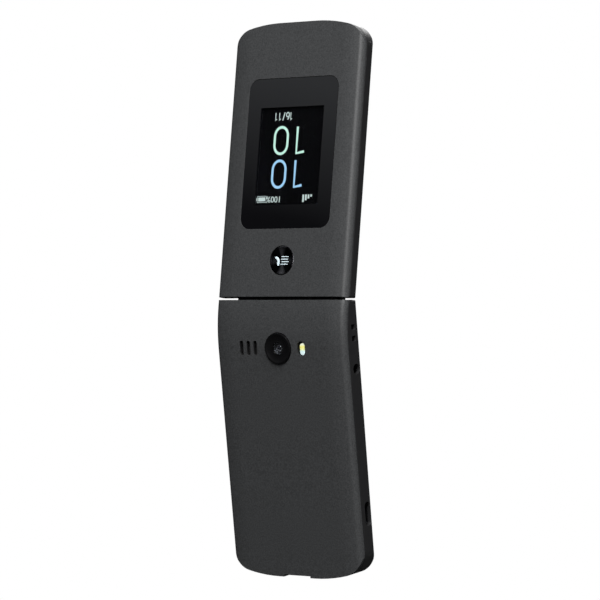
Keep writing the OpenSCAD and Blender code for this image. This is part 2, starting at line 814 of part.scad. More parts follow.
module vibration_motor() {
    r = 1.7;
    x = (bay_x + rail_t + body_w / 2 - wall) / 2;
    color(steel_c) in_base() translate([x, floor_y + floor_t + r + touch, battery_z + 20]) {
        cylinder(h = 7, r = r);
        cylinder(h = 8.4, r = 0.4);
        translate([0, 0, 8]) intersection() {
            cylinder(h = 2.6, r = r);
            translate([-r, -r - 0.5, 0]) cube([2 * r, r + 0.9, 2.6]);
        }
    }
}

mic_z = base_l - 5.9;

module microphone() {
    color(steel_c) in_base() disc(0, mic_z, 2, under_face + touch, sheet_y);
}

rocker_y = 3.6;
rocker_flange_t = 0.5;
rocker_lip = 0.6;
rocker_nub = 0.3;
switch_t = 0.4;
switch_l = rocker_l + 1;
rocker_x0 = body_w / 2 - wall - 2 * touch - rocker_flange_t;
rocker_nub_z = 0.35 * rocker_l;

module volume_rocker() {
    color(key_c) in_base() {
        bar(rocker_x0, rocker_x0 + rocker_flange_t) translate([rocker_y, jack_z])
            polygon(round_box(rocker_w + 2 * rocker_lip, rocker_l + 2 * rocker_lip, 1));
        bar(rocker_x0 + touch, body_w / 2 + rocker_proud) translate([rocker_y, jack_z])
            polygon(round_box(rocker_w, rocker_l, rocker_w / 2 - 0.01));
        for (s = [-1, 1]) rod(rocker_y, jack_z + s * rocker_nub_z, 0.6,
            rocker_x0 - rocker_nub, rocker_x0 + touch);
    }
}

module side_switch() {
    x1 = rocker_x0 - rocker_nub - rocker_travel - 2 * touch;
    color(board_c) in_base() {
        box(board_x + touch, x1 - switch_t, board_y, rocker_y + 1,
            jack_z - switch_l / 2, jack_z + switch_l / 2);
        for (s = [-1, 1]) rod(rocker_y, jack_z + s * rocker_nub_z, 0.9,
            x1 - switch_t - touch, x1);
    }
}

module base_screws() {
    top = floor_y + ear_h;
    color(steel_c) in_base() at_screws(base_screw_at) difference() {
        union() {
            disc(0, 0, shank_r, screw_tip, top + touch);
            disc(0, 0, head_r, top, top + head_h);
        }
        slab(top + head_h / 2, top + head_h + over) {
            square([1.6, 0.35], center = true);
            square([0.35, 1.6], center = true);
        }
    }
}

module hinge_pin() {
    color(steel_c) in_base() difference() {
        rod(0, 0, pin_r, -knuckle_end, pin_x1);
        rod(0, 0, pin_bore_r, -knuckle_end - over, pin_x1 + over);
    }
}

// ---- keys ----

// Each key: name, side offset, distance from the hinge, width, height, corner radius
digit_names = [
    ["key_1", "key_2", "key_3"], ["key_4", "key_5", "key_6"],
    ["key_7", "key_8", "key_9"], ["key_star", "key_0", "key_hash"]
];
small_names = ["key_message", "key_clear", "key_loudspeaker"];
keys = concat(
    [for (r = [0:3], c = [0:2])
        [digit_names[r][c], (c - 1) * column_dx, row_z + r * row_dz, key_w, key_h, key_r]],
    [for (c = [0:2]) [small_names[c], (c - 1) * column_dx, small_z, key_w, small_h, key_r]],
    [
        ["key_soft_left", -side_x, jack_z - side_dz, side_w, side_h, key_r],
        ["key_soft_right", side_x, jack_z - side_dz, side_w, side_h, key_r],
        ["key_call", -side_x, jack_z + side_dz, side_w, side_h, key_r],
        ["key_end", side_x, jack_z + side_dz, side_w, side_h, key_r],
        ["nav_ring", 0, jack_z, nav_w, nav_w, nav_corner_r]
    ]);
nav_nub = (nav_w / 2 + ok_r) / 2;

function nubs_of(k) = k[0] == "nav_ring"
    ? [[0, jack_z], [nav_nub, jack_z], [-nav_nub, jack_z],
        [0, jack_z + nav_nub], [0, jack_z - nav_nub]]
    : [[k[1], k[2]]];

module key(name) {
    k = [for (q = keys) if (q[0] == name) q][0];
    top_in = 0.35;
    color(key_c) in_base() {
        slab(key_flange_y, key_flange_y + key_flange_t) translate([k[1], k[2]])
            polygon(round_box(k[3] + 2 * key_flange_out, k[4] + 2 * key_flange_out, k[5]));
        slab(key_top + top_in / 2, key_flange_y + touch) translate([k[1], k[2]])
            polygon(round_box(k[3], k[4], k[5]));
        slab(key_top, key_top + top_in) translate([k[1], k[2]])
            polygon(round_box(k[3] - top_in, k[4] - top_in, k[5] - top_in / 2));
        disc(k[1], k[2], nub_r, key_flange_y + touch, nub_end);
    }
}

module nav_ring() {
    hole_r = ok_r + key_air;
    color(key_c) in_base() {
        difference() {
            slab(key_flange_y, key_flange_y + key_flange_t) translate([0, jack_z])
                polygon(round_box(nav_w + 2 * key_flange_out, nav_w + 2 * key_flange_out,
                    nav_corner_r));
            disc(0, jack_z, hole_r + key_flange_out, 0, 3);
        }
        difference() {
            slab(key_top, key_flange_y + touch) translate([0, jack_z])
                polygon(round_box(nav_w, nav_w, nav_corner_r));
            disc(0, jack_z, hole_r, -over, 3);
        }
        for (x = [-1, 0, 1], z = [-1, 0, 1]) if (abs(x) + abs(z) == 1)
            disc(x * nav_nub, jack_z + z * nav_nub, nub_r, key_flange_y + touch, nub_end);
    }
}

module key_ok() {
    color(key_c) in_base() {
        disc(0, jack_z, ok_r, key_top, key_flange_y + key_flange_t);
        disc(0, jack_z, nub_r, key_flange_y, nub_end);
    }
}

// ---- lid ----

module lid_inner_case() {
    open_w = screen_w + 1.2;
    open_h = screen_h + 1.2;
    color(frame_c) in_lid() difference() {
        union() {
            difference() {
                intersection() {
                    linear_extrude(lid_l + over) polygon(inner_section(lid_seam));
                    half_block(lid_l);
                }
                intersection() {
                    half_block(lid_l, wall, -over);
                    box(-body_w, body_w, lid_back, 16, hinge_block, lid_l);
                }
                both() rod(0, 0, barrel_r + barrel_air, barrel_l / 2, cut_end);
            }
            rod(0, 0, barrel_r, -barrel_l / 2, barrel_l / 2);
            at_screws([lid_screw_far]) disc(0, 0, boss_r + 0.4, face_y + 0.5, lid_seam);
        }
        rod(0, 0, cartridge_r + seat_air, cartridge_x0 - knuckle_air, barrel_l);
        rod(0, 0, pin_r + run_air, -barrel_l, cartridge_x0 - 0.8);
        box(flex_x0 - 0.3, flex_x1 + 0.3, flex_r - flex_t - 0.2, flex_r + 0.3, 0,
            hinge_block + over);
        slab(-over, ledge_y) translate([0, glass_z + glass_h / 2])
            polygon(round_box(glass_w + 2 * fit_air, glass_h + 2 * fit_air, 3 + fit_air));
        slab(-over, lid_back + over) translate([0, screen_z]) square([open_w, open_h], center = true);
        slab(-over, lid_back + over) translate([0, ear_z])
            polygon(round_box(ear_l, ear_w, ear_w / 2 - 0.01));
        at_screws([lid_screw_near, lid_screw_far]) {
            disc(0, 0, shank_r + seat_air, 0, lid_seam + over);
            disc(0, 0, bumper_r + touch, -over, face_y + bumper_sunk + 2 * touch + head_h);
        }
    }
}

ear_z = lid_l - 3.7;

module lid_outer_case() {
    rim_w = 2;
    color(cover_c) in_lid() difference() {
        union() {
            difference() {
                intersection() {
                    linear_extrude(lid_l + over) polygon(section(half_t, 0, lid_seam + seam_w));
                    half_block(lid_l);
                }
                intersection() {
                    linear_extrude(lid_l) polygon(section(half_t - cover_t, 0, 0));
                    half_block(lid_l, cover_t, slit_w / 2 + cover_t);
                }
            }
            slab(win_y - ledge_t, half_t - cover_t + touch) translate([0, win_z])
                polygon(round_box(win_w + 2 * rim_w, win_h + 2 * rim_w, win_r + 1));
            at_screws([lid_screw_near, lid_screw_far])
                disc(0, 0, boss_r, lid_seam + seam_w, half_t - cover_t + touch);
        }
        slab(win_y - touch, half_t + over) translate([0, win_z])
            polygon(round_box(win_w + 2 * touch, win_h + 2 * touch, win_r + touch, 8));
        slab(0, half_t) translate([0, lcd_z])
            square([lcd_w + 4 * fit_air, lcd_h + 4 * fit_air], center = true);
        disc(0, button_z, button_r + fit_air, 0, half_t + over);
        at_screws([lid_screw_near, lid_screw_far])
            disc(0, 0, shank_r + pilot_air, 0, lid_screw_tip + 0.1);
    }
}

lid_screw_tip = half_t - cover_t - 0.7;

module outer_window() {
    color(gloss_c) in_lid() slab(win_y, win_y + win_t) translate([0, win_z])
        polygon(round_box(win_w, win_h, win_r, 8));
}

module outer_display() {
    color([0.05, 0.05, 0.06]) in_lid() slab(lcd_y, lcd_y + lcd_t) translate([0, lcd_z])
        square([lcd_w, lcd_h], center = true);
}

module lid_button() {
    color(gloss_c) in_lid() {
        disc(0, button_z, button_r, button_under - button_flange_t, button_top);
        disc(0, button_z, button_r + button_flange, button_under - button_flange_t, button_under);
        disc(0, button_z, 1.2, button_under - button_flange_t - button_nub,
            button_under - button_flange_t + touch);
    }
}

module inner_window() {
    color(gloss_c) in_lid() slab(glass_y, glass_y + glass_t)
        translate([0, glass_z + glass_h / 2]) polygon(round_box(glass_w, glass_h, 3));
}

module main_display() {
    color([0.07, 0.07, 0.08]) in_lid() slab(screen_y, screen_y + screen_t)
        translate([0, screen_z + 1])
            square([screen_w + 2 * screen_border, screen_h + 7], center = true);
}

module lid_plate() {
    w = body_w - 2 * wall - plate_margin;
    z0 = hinge_block + 2;
    z1 = lid_l - 8.4;
    color(steel_c) in_lid() slab(plate_y, plate_y + plate_t) translate([0, (z0 + z1) / 2])
        polygon(round_box(w, z1 - z0, 2));
}

module lid_board() {
    z0 = hinge_block + 2.5;
    color(board_c) in_lid() {
        slab(lid_board_y, lid_board_y + lid_board_t) translate([0, z0 + 11])
            polygon(round_box(36, 22, 1));
    }
}

module earpiece_mesh() {
    color(rubber_c) in_lid() slab(lid_back + touch, lid_back + 0.2) translate([0, ear_z])
        polygon(round_box(ear_l + 2, ear_w + 1.4, 0.6));
}

module earpiece() {
    color(steel_c) in_lid() slab(lid_back + 0.25, lid_back + 2.3) translate([0, ear_z])
        polygon(round_box(12, 4, 1));
}

module lid_bumpers() {
    color(rubber_c) in_lid() at_screws([lid_screw_near, lid_screw_far])
        disc(0, 0, bumper_r, face_y - bumper_proud, face_y + bumper_sunk);
}

module lid_screws() {
    head_y = face_y + bumper_sunk + touch;
    color(steel_c) in_lid() at_screws([lid_screw_near, lid_screw_far]) {
        disc(0, 0, head_r, head_y, head_y + head_h);
        disc(0, 0, shank_r, head_y + touch, lid_screw_tip);
    }
}

module magnet() {
    color(steel_c) in_lid() box(body_w / 2 - 7.6, body_w / 2 - 4.6,
        plate_y + plate_t, plate_y + plate_t + 1, lid_l - 14.4, lid_l - 9.4);
}

module hinge_cartridge() {
    color(steel_c) in_lid() {
        rod(0, 0, cartridge_r, cartridge_x0, cartridge_x1);
        rod(0, 0, shaft_r, cartridge_x1 - touch, knuckle_x + shaft_l);
    }
}

module hinge_flex() {
    y1 = lid_board_y + lid_board_t;
    z1 = hinge_block + 2.4;
    turn_z = hinge_block + 1;
    color([0.75, 0.5, 0.15]) in_lid() {
        difference() {
            rod(0, 0, flex_r, flex_x0, flex_x1);
            rod(0, 0, flex_r - flex_t, flex_x0 - over, flex_x1 + over);
        }
        box(flex_x0, flex_x1, flex_r - flex_t, flex_r, 0, turn_z);
        box(flex_x0, flex_x1, flex_r - flex_t, y1, turn_z - flex_t, turn_z);
        box(flex_x0, flex_x1, y1 - flex_t, y1, turn_z - flex_t, z1);
    }
}

base_front_case();
rear_cover();
rear_chassis();
camera_ring();
camera_lens();
camera_module();
flash_lens();
speaker_mesh();
speaker();
headset_jack();
charging_socket();
main_board();
dome_sheet();
battery();
battery_contacts();
card_reader();
vibration_motor();
microphone();
side_switch();
volume_rocker();
base_screws();
hinge_pin();
key("key_1");  // key_1
key("key_2");  // key_2
key("key_3");  // key_3
key("key_4");  // key_4
key("key_5");  // key_5
key("key_6");  // key_6
key("key_7");  // key_7
key("key_8");  // key_8
key("key_9");  // key_9
key("key_star");  // key_star
key("key_0");  // key_0
key("key_hash");  // key_hash
key("key_message");  // key_message
key("key_clear");  // key_clear
key("key_loudspeaker");  // key_loudspeaker
key("key_soft_left");  // key_soft_left
key("key_soft_right");  // key_soft_right
key("key_call");  // key_call
key("key_end");  // key_end
nav_ring();
key_ok();
lid_inner_case();
lid_outer_case();
outer_window();
outer_display();
lid_button();
inner_window();
main_display();
lid_plate();
lid_board();
earpiece_mesh();
earpiece();
lid_bumpers();
lid_screws();
magnet();
hinge_cartridge();
hinge_flex();
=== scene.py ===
"""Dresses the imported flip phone: stage, casing, screens, buttons, camera, sockets, keypad, insides.

Sizes below are millimetres unless a name says otherwise, and the model itself is in metres.
"""

import json
import math

import bmesh
import bpy
from bpy.props import FloatProperty, FloatVectorProperty, PointerProperty
from mathutils import Matrix, Vector

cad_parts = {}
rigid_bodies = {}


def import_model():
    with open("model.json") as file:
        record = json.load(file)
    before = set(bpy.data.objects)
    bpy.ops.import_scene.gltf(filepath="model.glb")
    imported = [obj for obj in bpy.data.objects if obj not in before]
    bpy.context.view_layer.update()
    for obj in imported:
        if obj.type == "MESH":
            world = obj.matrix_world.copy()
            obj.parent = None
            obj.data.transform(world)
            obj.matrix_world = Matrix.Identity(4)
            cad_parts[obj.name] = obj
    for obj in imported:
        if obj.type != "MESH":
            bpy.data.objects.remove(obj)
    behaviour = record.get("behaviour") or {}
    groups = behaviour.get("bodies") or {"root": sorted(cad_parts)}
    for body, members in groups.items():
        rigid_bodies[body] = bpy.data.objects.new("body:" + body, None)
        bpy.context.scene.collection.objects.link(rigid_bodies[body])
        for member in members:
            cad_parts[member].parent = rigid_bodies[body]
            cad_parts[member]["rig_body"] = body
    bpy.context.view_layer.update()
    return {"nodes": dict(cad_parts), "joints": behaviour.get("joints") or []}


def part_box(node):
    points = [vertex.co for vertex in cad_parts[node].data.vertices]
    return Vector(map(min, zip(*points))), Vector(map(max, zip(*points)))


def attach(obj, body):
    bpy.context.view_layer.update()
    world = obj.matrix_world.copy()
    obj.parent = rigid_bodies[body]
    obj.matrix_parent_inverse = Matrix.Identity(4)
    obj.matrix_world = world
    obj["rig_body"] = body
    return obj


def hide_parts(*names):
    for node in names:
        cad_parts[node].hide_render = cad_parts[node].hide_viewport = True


bl_info = {
    "name": "Flip Phone Finish",
    "version": (1, 0, 0),
    "blender": (4, 5, 0),
    "location": "3D View > Sidebar > Flip Phone",
    "description": "Builds the finished looks of a folding phone round its packed model",
    "category": "Object",
}

MM = 0.001
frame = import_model()
NODES = frame["nodes"]
BODY_OF = {n: o["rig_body"] for n, o in NODES.items()}

# The hinge carries two spaces: x across, y towards the outer face, z up from the hinge axis
HINGE_JOINT = next(j for j in frame["joints"] if j["name"] == "lid_hinge")
HINGE = Vector(HINGE_JOINT["pos_m"])
LEAN = math.radians(180 - HINGE_JOINT["range_deg"][1])
BASE_SPACE = Matrix.Translation(HINGE)
LID_SPACE = BASE_SPACE @ Matrix.Rotation(LEAN, 4, "X")

# Thickness of each half at the hinge, which places the middle of the slit
HALF_T = 7.3
# The photograph's camera, found by a fit: azimuth, rise and roll in degrees, distance from the
# slit, the point aimed at beside it, focal length and frame in pixels
VIEW_ANGLES = (37.2, 0.07, -0.14)
CAMERA_AWAY = 1086.2
CAMERA_AIM = (9.44, 0, -0.31)
FOCAL_PX, FRAME_PX = 3099.2, 600

# Patches of noise run between these two of its values, where most of it lies
PATCH_MIN, PATCH_MAX = 0.35, 0.65
# The wave texture draws this many bands to a unit of scale
WAVE_PER_UNIT = 20
# Corners closer than this are one, in metres: in a CAD mesh, and in a piece built here
MERGE_CAD, MERGE = 2e-6, 1e-7
# Faces of a CAD mesh within this of one plane become one face, in degrees
FLAT = 0.4
# Edges under these angles are shaded smooth, in degrees
SMOOTH, SMOOTH_CAD, SMOOTH_STROKE, SMOOTH_LETTER = 35, 33, 60, 30


# ---- colours and nodes ----


def linear(code):
    """An sRGB hex value such as 3c3c3d as the linear colour that Blender shades with."""
    parts = [int(code[i : i + 2], 16) / 255 for i in (0, 2, 4)]
    return tuple(
        p / 12.92 if p <= 0.04045 else ((p + 0.055) / 1.055) ** 2.4 for p in parts
    ) + (1.0,)


def node(tree, kind, settings=(), **links):
    """Adds a node, sets its fields and sockets, and links sockets given as (node, output)."""
    new = tree.nodes.new(kind)
    for name, value in dict(settings).items():
        if isinstance(name, str) and hasattr(new, name):
            setattr(new, name, value)
        else:
            new.inputs[name].default_value = value
    for name, (source, output) in links.items():
        key = int(name[1:]) if name[0] == "i" and name[1:].isdigit() else name.replace("_", " ")
        tree.links.new(source.outputs[output], new.inputs[key])
    return new


def finish_of(name, base, rough, metal=0.0, ior=1.5, **sockets):
    """A new Principled material; the uniform numbers go straight on the shader's sockets."""
    made = bpy.data.materials.new(name)
    made.use_nodes = True
    shader = made.node_tree.nodes["Principled BSDF"]
    shader.inputs["Base Color"].default_value = base
    shader.inputs["Roughness"].default_value = rough
    shader.inputs["Metallic"].default_value = metal
    if not metal:
        shader.inputs["IOR"].default_value = ior
    for key, value in sockets.items():
        shader.inputs[key.replace("_", " ")].default_value = value
    return made, made.node_tree, shader


def spots(tree):
    """Object coordinates, which stay with a piece as its body moves."""
    return node(tree, "ShaderNodeTexCoord"), "Object"


def reckoned(tree, operation, source, factor=None):
    """A value worked out from another by one operation."""
    settings = {"operation": operation}
    if factor is not None:
        settings[1] = factor
    return node(tree, "ShaderNodeMath", settings, i0=source), "Value"


def ramped(tree, shader, source, stops, sockets=("Base Color",)):
    """Colours a value by (position, linear colour) stops, into the shader's named sockets."""
    ramp = node(tree, "ShaderNodeValToRGB", Fac=source)
    elements = ramp.color_ramp.elements
    while len(elements) < len(stops):
        elements.new(0.5)
    for element, (at, colour) in zip(elements, stops):
        element.position, element.color = at, colour
    for socket in sockets:
        tree.links.new(ramp.outputs["Color"], shader.inputs[socket])
    return ramp.color_ramp


def raised(tree, shader, source, depth, strength):
    """Turns a value into relief of a depth in mm, as bump."""
    bump = node(
        tree, "ShaderNodeBump", {"Strength": strength, "Distance": depth * MM}, Height=source
    )
    tree.links.new(bump.outputs["Normal"], shader.inputs["Normal"])


def noise(tree, scale, detail, **settings):
    """Noise with features of a size in mm."""
    fields = {"Scale": 1 / (scale * MM), "Detail": detail, **settings}
    return node(tree, "ShaderNodeTexNoise", fields, Vector=spots(tree)), "Fac"


def grain(tree, shader, scale, depth, strength, detail=2.0):
    """Fine relief of a given feature size in mm."""
    raised(tree, shader, noise(tree, scale, detail, Roughness=0.6), depth, strength)


def mottled(tree, shader, low, high, scale, detail=3.0):
    """Varies the colour, or the roughness where low is a number, in patches of scale mm."""
    source = noise(tree, scale, detail)
    if isinstance(low, tuple):
        ramped(tree, shader, source, ((PATCH_MIN, low), (PATCH_MAX, high)))
        return
    spread = node(
        tree, "ShaderNodeMapRange",
        {"From Min": PATCH_MIN, "From Max": PATCH_MAX, "To Min": low, "To Max": high},
        Value=source,
    )
    tree.links.new(spread.outputs["Result"], shader.inputs["Roughness"])


def faded_up(tree, low, high):
    """How far up a point lies between two heights in metres, from 0 to 1."""
    split = node(tree, "ShaderNodeSeparateXYZ", Vector=spots(tree))
    fade = node(
        tree, "ShaderNodeMapRange", {"From Min": low, "From Max": high}, Value=(split, "Z")
    )
    return fade, "Result"


def striped(tree, shader, pitch, dark, light):
    """Upright stripes of two colours at a pitch in mm."""
    fields = {"Scale": 1 / (pitch * MM) / WAVE_PER_UNIT, "bands_direction": "X"}
    wave = node(tree, "ShaderNodeTexWave", fields, Vector=spots(tree))
    ramped(tree, shader, (wave, "Fac"), ((0.0, linear(dark)), (1.0, linear(light))))


# ---- materials ----

METAL = {"metal": 1.0}
GLASS = {"Transmission_Weight": 1.0}

# Name: title, colour, roughness, sockets, patches (low, high, mm), grain (mm, depth, strength)
PLAIN_FINISHES = {
    # Black resin for the flash holder, and painted shade on the walls of the cover's slots
    "bare_black": (
        "black polycarbonate and painted slot shade", "0c0c0d", 0.6, {"ior": 1.58}, (0.5, 0.7, 0.8), None),
    # Acrylic coated inside the ring to keep stray light out of the lens
    "gloss_black": (
        "polished black acrylic", "0c0c0d", 0.3, {"ior": 1.49, "Specular_IOR_Level": 0.15},
        (0.26, 0.36, 6.0), None),
    # PMMA bonded to the picture: its coats leave next to no step in index, nor glare
    "window_glass": (
        "bonded clear PMMA", "eef1f3", 0.0, {"ior": 1.03, **GLASS}, (0.0, 0.03, 9.0), None),
    # PMMA printed black from behind: deep black under one sharp, clean reflection
    "border_black": (
        "back-printed PMMA", "08080a", 0.03, {"ior": 1.49}, (0.02, 0.06, 7.0), None),
    # Key caps in matt black, fingertip smooth at the crown
    "key_plastic": (
        "rubber-painted key cap", "29292b", 0.46, {}, ("252527", "2e2e31", 1.2),
        (0.3, 0.01, 0.5)),
    # Key marks etched by laser, so that the under-paint shows: white, green and red
    "key_print": (
        "laser-etched white legend", "dfe4e6", 0.5, {}, ("cfd5d8", "e9edee", 0.5), None),
    "call_green": ("etched green legend", "3fbf5a", 0.5, {}, ("36ac50", "4acb66", 0.5), None),
    "end_red": ("etched red legend", "d8443a", 0.5, {}, ("c63b32", "e25248", 0.5), None),
    # Pale enamel filled into the button's engraving, with a faint painted glow from its emission
    "button_print": (
        "pale filled enamel", "cfe3ea", 0.35,
        {"Emission_Color": linear("cfe3ea"), "Emission_Strength": 0.12},
        ("bdd3dc", "e4f1f5", 0.4), None),
    # The camera's cover glass, coated and clear
    "clear_lens": (
        "coated cover glass", "f2f4f6", 0.0, {"ior": 1.52, **GLASS}, (0.0, 0.02, 1.5), None),
    # Blackened lens-barrel rings, fine bead-blasted
    "barrel_grey": ("blackened lens barrel", "46484c", 0.5, METAL, None, (0.08, 0.004, 0.5)),
    # Stainless steel from drawn strip, lightly brushed
    "steel": ("bright stainless steel", "c9cacc", 0.26, METAL, (0.2, 0.36, 0.8), None),
    # Zinc-plated screws: dark metal with wear at the drive
    "black_steel": ("black zinc-plated steel", "4a4a4d", 0.34, METAL, (0.28, 0.45, 0.5), None),
    # Phosphor bronze contacts, gold flashed
    "brass": ("gold-flashed contact bronze", "d9b45a", 0.28, METAL, (0.22, 0.4, 0.6), None),
    # Silicone rubber, dull and slightly dusty
    "rubber": (
        "matt black silicone rubber", "1b1b1c", 0.75, {}, ("171718", "222224", 0.6),
        (0.3, 0.01, 0.6)),
    # PET dome film over steel domes
    "clear_film": ("milky PET dome film", "cdced0", 0.35, {}, ("c2c4c6", "d8d9db", 1.5), None),
    # Liquid-crystal-polymer modules, dark grey and dry
    "module_grey": (
        "dark LCP module moulding", "38393c", 0.55, {}, ("303134", "404145", 0.9), None),
}

# Lit picture elements: title, colour and strength of the light
LIT_FINISHES = {
    "mint_digits": ("mint picture elements", "d2ffec", 0.95),
    "blue_digits": ("sky-blue picture elements", "a9dcff", 0.95),
    "white_marks": ("cool white picture elements", "d9ece8", 0.8),
}


def plain(title, code, rough, sockets, patches, grit):
    """A finish of one colour with patches and a grain of its own."""
    made, tree, shader = finish_of(title, linear(code), rough, **sockets)
    if patches:
        low, high, scale = patches
        if isinstance(low, str):
            low, high = linear(low), linear(high)
        mottled(tree, shader, low, high, scale)
    if grit:
        grain(tree, shader, *grit)
    return made


def lit(title, code, strength):
    """Pixels of the picture that give light of their own colour."""
    made, _, _ = finish_of(
        title, linear("101010"), 0.4, Emission_Color=linear(code), Emission_Strength=strength
    )
    return made


def textured_cover():
    """Painted polycarbonate over a spark-eroded mould: a dry, sandy charcoal that still sheens."""
    colour = tuple(bpy.context.scene.phone_looks.cover)
    made, tree, shader = finish_of(
        "painted spark-textured polycarbonate", colour, 0.5, ior=1.47
    )
    # Paint grit is about 0.1 mm; it is drawn at 0.45 mm so that it still shows from 1 m away
    low, high = (tuple(Vector(colour[:3]) * share) + (1.0,) for share in (0.72, 1.32))
    mottled(tree, shader, low, high, 0.45, detail=4.0)
    grain(tree, shader, 0.22, 0.035, 0.55, detail=3.0)
    return made


def dark_frame():
    """Moulded black ABS with a satin tool finish: soft wide highlights on its rounds."""
    colour = tuple(bpy.context.scene.phone_looks.frame)
    made, tree, shader = finish_of("satin moulded ABS", colour, 0.36, ior=1.52)
    mottled(tree, shader, 0.30, 0.42, 3.0)
    grain(tree, shader, 0.5, 0.008, 0.4)
    return made


def spun_black():
    """Black anodised aluminium, face turned: bump gives the tool rings, and four conical glints are
    painted into its colour as highlights.
    """
    made, tree, shader = finish_of(
        "face-turned black anodised aluminium", linear("1a1a1c"), 0.26, metal=1.0,
        Anisotropic=0.8,
    )
    ring_pitch, painted_glints = 0.16, 4
    around = node(tree, "ShaderNodeUVMap", {"uv_map": "around"})
    tangent = node(tree, "ShaderNodeTangent", {"direction_type": "UV_MAP", "uv_map": "around"})
    tree.links.new(tangent.outputs["Tangent"], shader.inputs["Tangent"])
    # The piece's own polar map: its second axis is the radius in mm, its first counts turns
    split = node(tree, "ShaderNodeSeparateXYZ", Vector=(around, "UV"))
    rings = reckoned(tree, "MULTIPLY", (split, "Y"), 2 * math.pi / ring_pitch)
    raised(tree, shader, reckoned(tree, "SINE", rings), 0.003, 0.3)
    # Painted highlight: the colour turns lighter in four sectors round the centre, standing in for
    # the glints of the turned face
    turn = reckoned(tree, "MULTIPLY", (split, "X"), 2 * math.pi * painted_glints)
    painted_glint_lobe = reckoned(tree, "COSINE", turn)
    fade = node(tree, "ShaderNodeMapRange", {"From Min": -0.2, "From Max": 1.0}, Value=painted_glint_lobe)
    ramped(tree, shader, (fade, "Result"), ((0.0, linear("151517")), (1.0, linear("6a6a6e"))))
    return made


def lit_panel():
    """TFT panel under a black picture, its polariser coated: the deepest black of the lid."""
    made, tree, shader = finish_of(
        "lit TFT panel", linear("050506"), 0.3, Specular_IOR_Level=0.05
    )
    striped(tree, shader, 0.22, "030304", "060607")
    return made


def lens_glass():
    """Coated camera glass over a dark barrel: black, with the coating's violet reflection painted
    into its colour towards the glancing rim.
    """
    made, tree, shader = finish_of(
        "coated optical glass", linear("08090b"), 0.08, ior=1.9, Coat_Weight=1.0, Coat_IOR=1.9
    )
    # Painted reflection: violet towards the glancing rim, by the facing of the surface
    layer = node(tree, "ShaderNodeLayerWeight", {"Blend": 0.35})
    ramped(tree, shader, (layer, "Facing"), ((0.0, linear("06080a")), (1.0, linear("1c1526"))))
    return made


def wallpaper():
    """The main screen's lit picture: a plain blue dusk that fades downwards."""
    low, high = (
        (LID_SPACE @ Vector((0, 0, corner.z * MM))).z
        for corner in extent("main_display", LID_SPACE)
    )
    made, tree, shader = finish_of(
        "lit main TFT panel", linear("05070a"), 0.3, Emission_Strength=0.8
    )
    stops = ((0.0, "0a1626"), (0.45, "14406a"), (0.75, "3f7fb4"), (1.0, "a8cde4"))
    ramped(
        tree, shader, faded_up(tree, low, high), [(at, linear(code)) for at, code in stops],
        ("Emission Color",),
    )
    return made


def flash_resin():
    """Clear resin over a yellow phosphor chip: cool white low down, yellow in the middle and pale at
    the top, with a faint painted glow over it all.
    """
    low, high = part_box("flash_lens")
    # Painted glow: the resin gives a little light of its own though the flash is off
    made, tree, shader = finish_of(
        "ribbed flash resin", linear("eef6f2"), 0.18, Emission_Strength=0.22
    )
    # The pale top stop is a painted highlight
    stops = ((0.0, "e9fbff"), (0.3, "d8f4f2"), (0.42, "e8eca8"), (0.62, "e6e078"), (0.78, "e4ead0"))
    ramped(
        tree, shader, faded_up(tree, low.z, high.z), [(at, linear(code)) for at, code in stops],
        ("Base Color", "Emission Color"),
    )
    return made


def mesh_black():
    """Woven black acoustic mesh."""
    made, tree, shader = finish_of("woven acoustic mesh", linear("111112"), 0.6)
    turns = 2 * math.pi / (0.3 * MM)
    split = node(tree, "ShaderNodeSeparateXYZ", Vector=spots(tree))
    across, along = (
        reckoned(tree, "SINE", reckoned(tree, "MULTIPLY", (split, axis), turns))
        for axis in ("X", "Z")
    )
    both = node(tree, "ShaderNodeMath", {"operation": "MAXIMUM"}, i0=across, i1=along)
    raised(tree, shader, (both, "Value"), 0.05, 1.0)
    return made


def board_green():
    """Green solder mask on glass epoxy, with the copper pours just showing."""
    made, tree, shader = finish_of("green solder mask on FR4", linear("14502c"), 0.3)
    pour = 3.2 * MM
    cells = node(
        tree, "ShaderNodeTexVoronoi", {"Scale": 1 / pour, "distance": "MANHATTAN"},
        Vector=spots(tree),
    )
    stops = ((0.0, linear("1c6436")), (0.32, linear("124726")))
    ramped(tree, shader, (cells, "Distance"), stops).interpolation = "CONSTANT"
    return made


def battery_wrap():
    """Matt PET wrap round the cell, dark grey with a blacker cap at its upper end."""
    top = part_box("battery")[1].z
    made, tree, shader = finish_of("matt PET cell wrap", linear("2c2d31"), 0.5)
    cap, blend = 6.0 * MM, 0.2 * MM
    source = faded_up(tree, top - cap - blend, top - cap)
    ramped(tree, shader, source, ((0.0, linear("2c2d31")), (1.0, linear("101011"))))
    grain(tree, shader, 0.9, 0.01, 0.3)
    return made


def flex_amber():
    """Polyimide flex cable, amber with copper tracks along it."""
    made, tree, shader = finish_of("amber polyimide flex", linear("b8731f"), 0.34)
    striped(tree, shader, 0.5, "8f5414", "c9862b")
    return made


MAKERS = {
    made_by.__name__: made_by
    for made_by in (
        textured_cover, dark_frame, spun_black, lit_panel, lens_glass, wallpaper, flash_resin,
        mesh_black, board_green, battery_wrap, flex_amber,
    )
}
MATERIALS = {}


def material(name):
    """The finished material of that name, made on first use."""
    if name not in MATERIALS:
        if name in MAKERS:
            MATERIALS[name] = MAKERS[name]()
        elif name in LIT_FINISHES:
            MATERIALS[name] = lit(*LIT_FINISHES[name])
        else:
            MATERIALS[name] = plain(*PLAIN_FINISHES[name])
    return MATERIALS[name]


# ---- modelling helpers ----


def at_rest():
    """Object mode, with nothing selected."""
    if bpy.context.object and bpy.context.object.mode != "OBJECT":
        bpy.ops.object.mode_set(mode="OBJECT")
    bpy.ops.object.select_all(action="DESELECT")


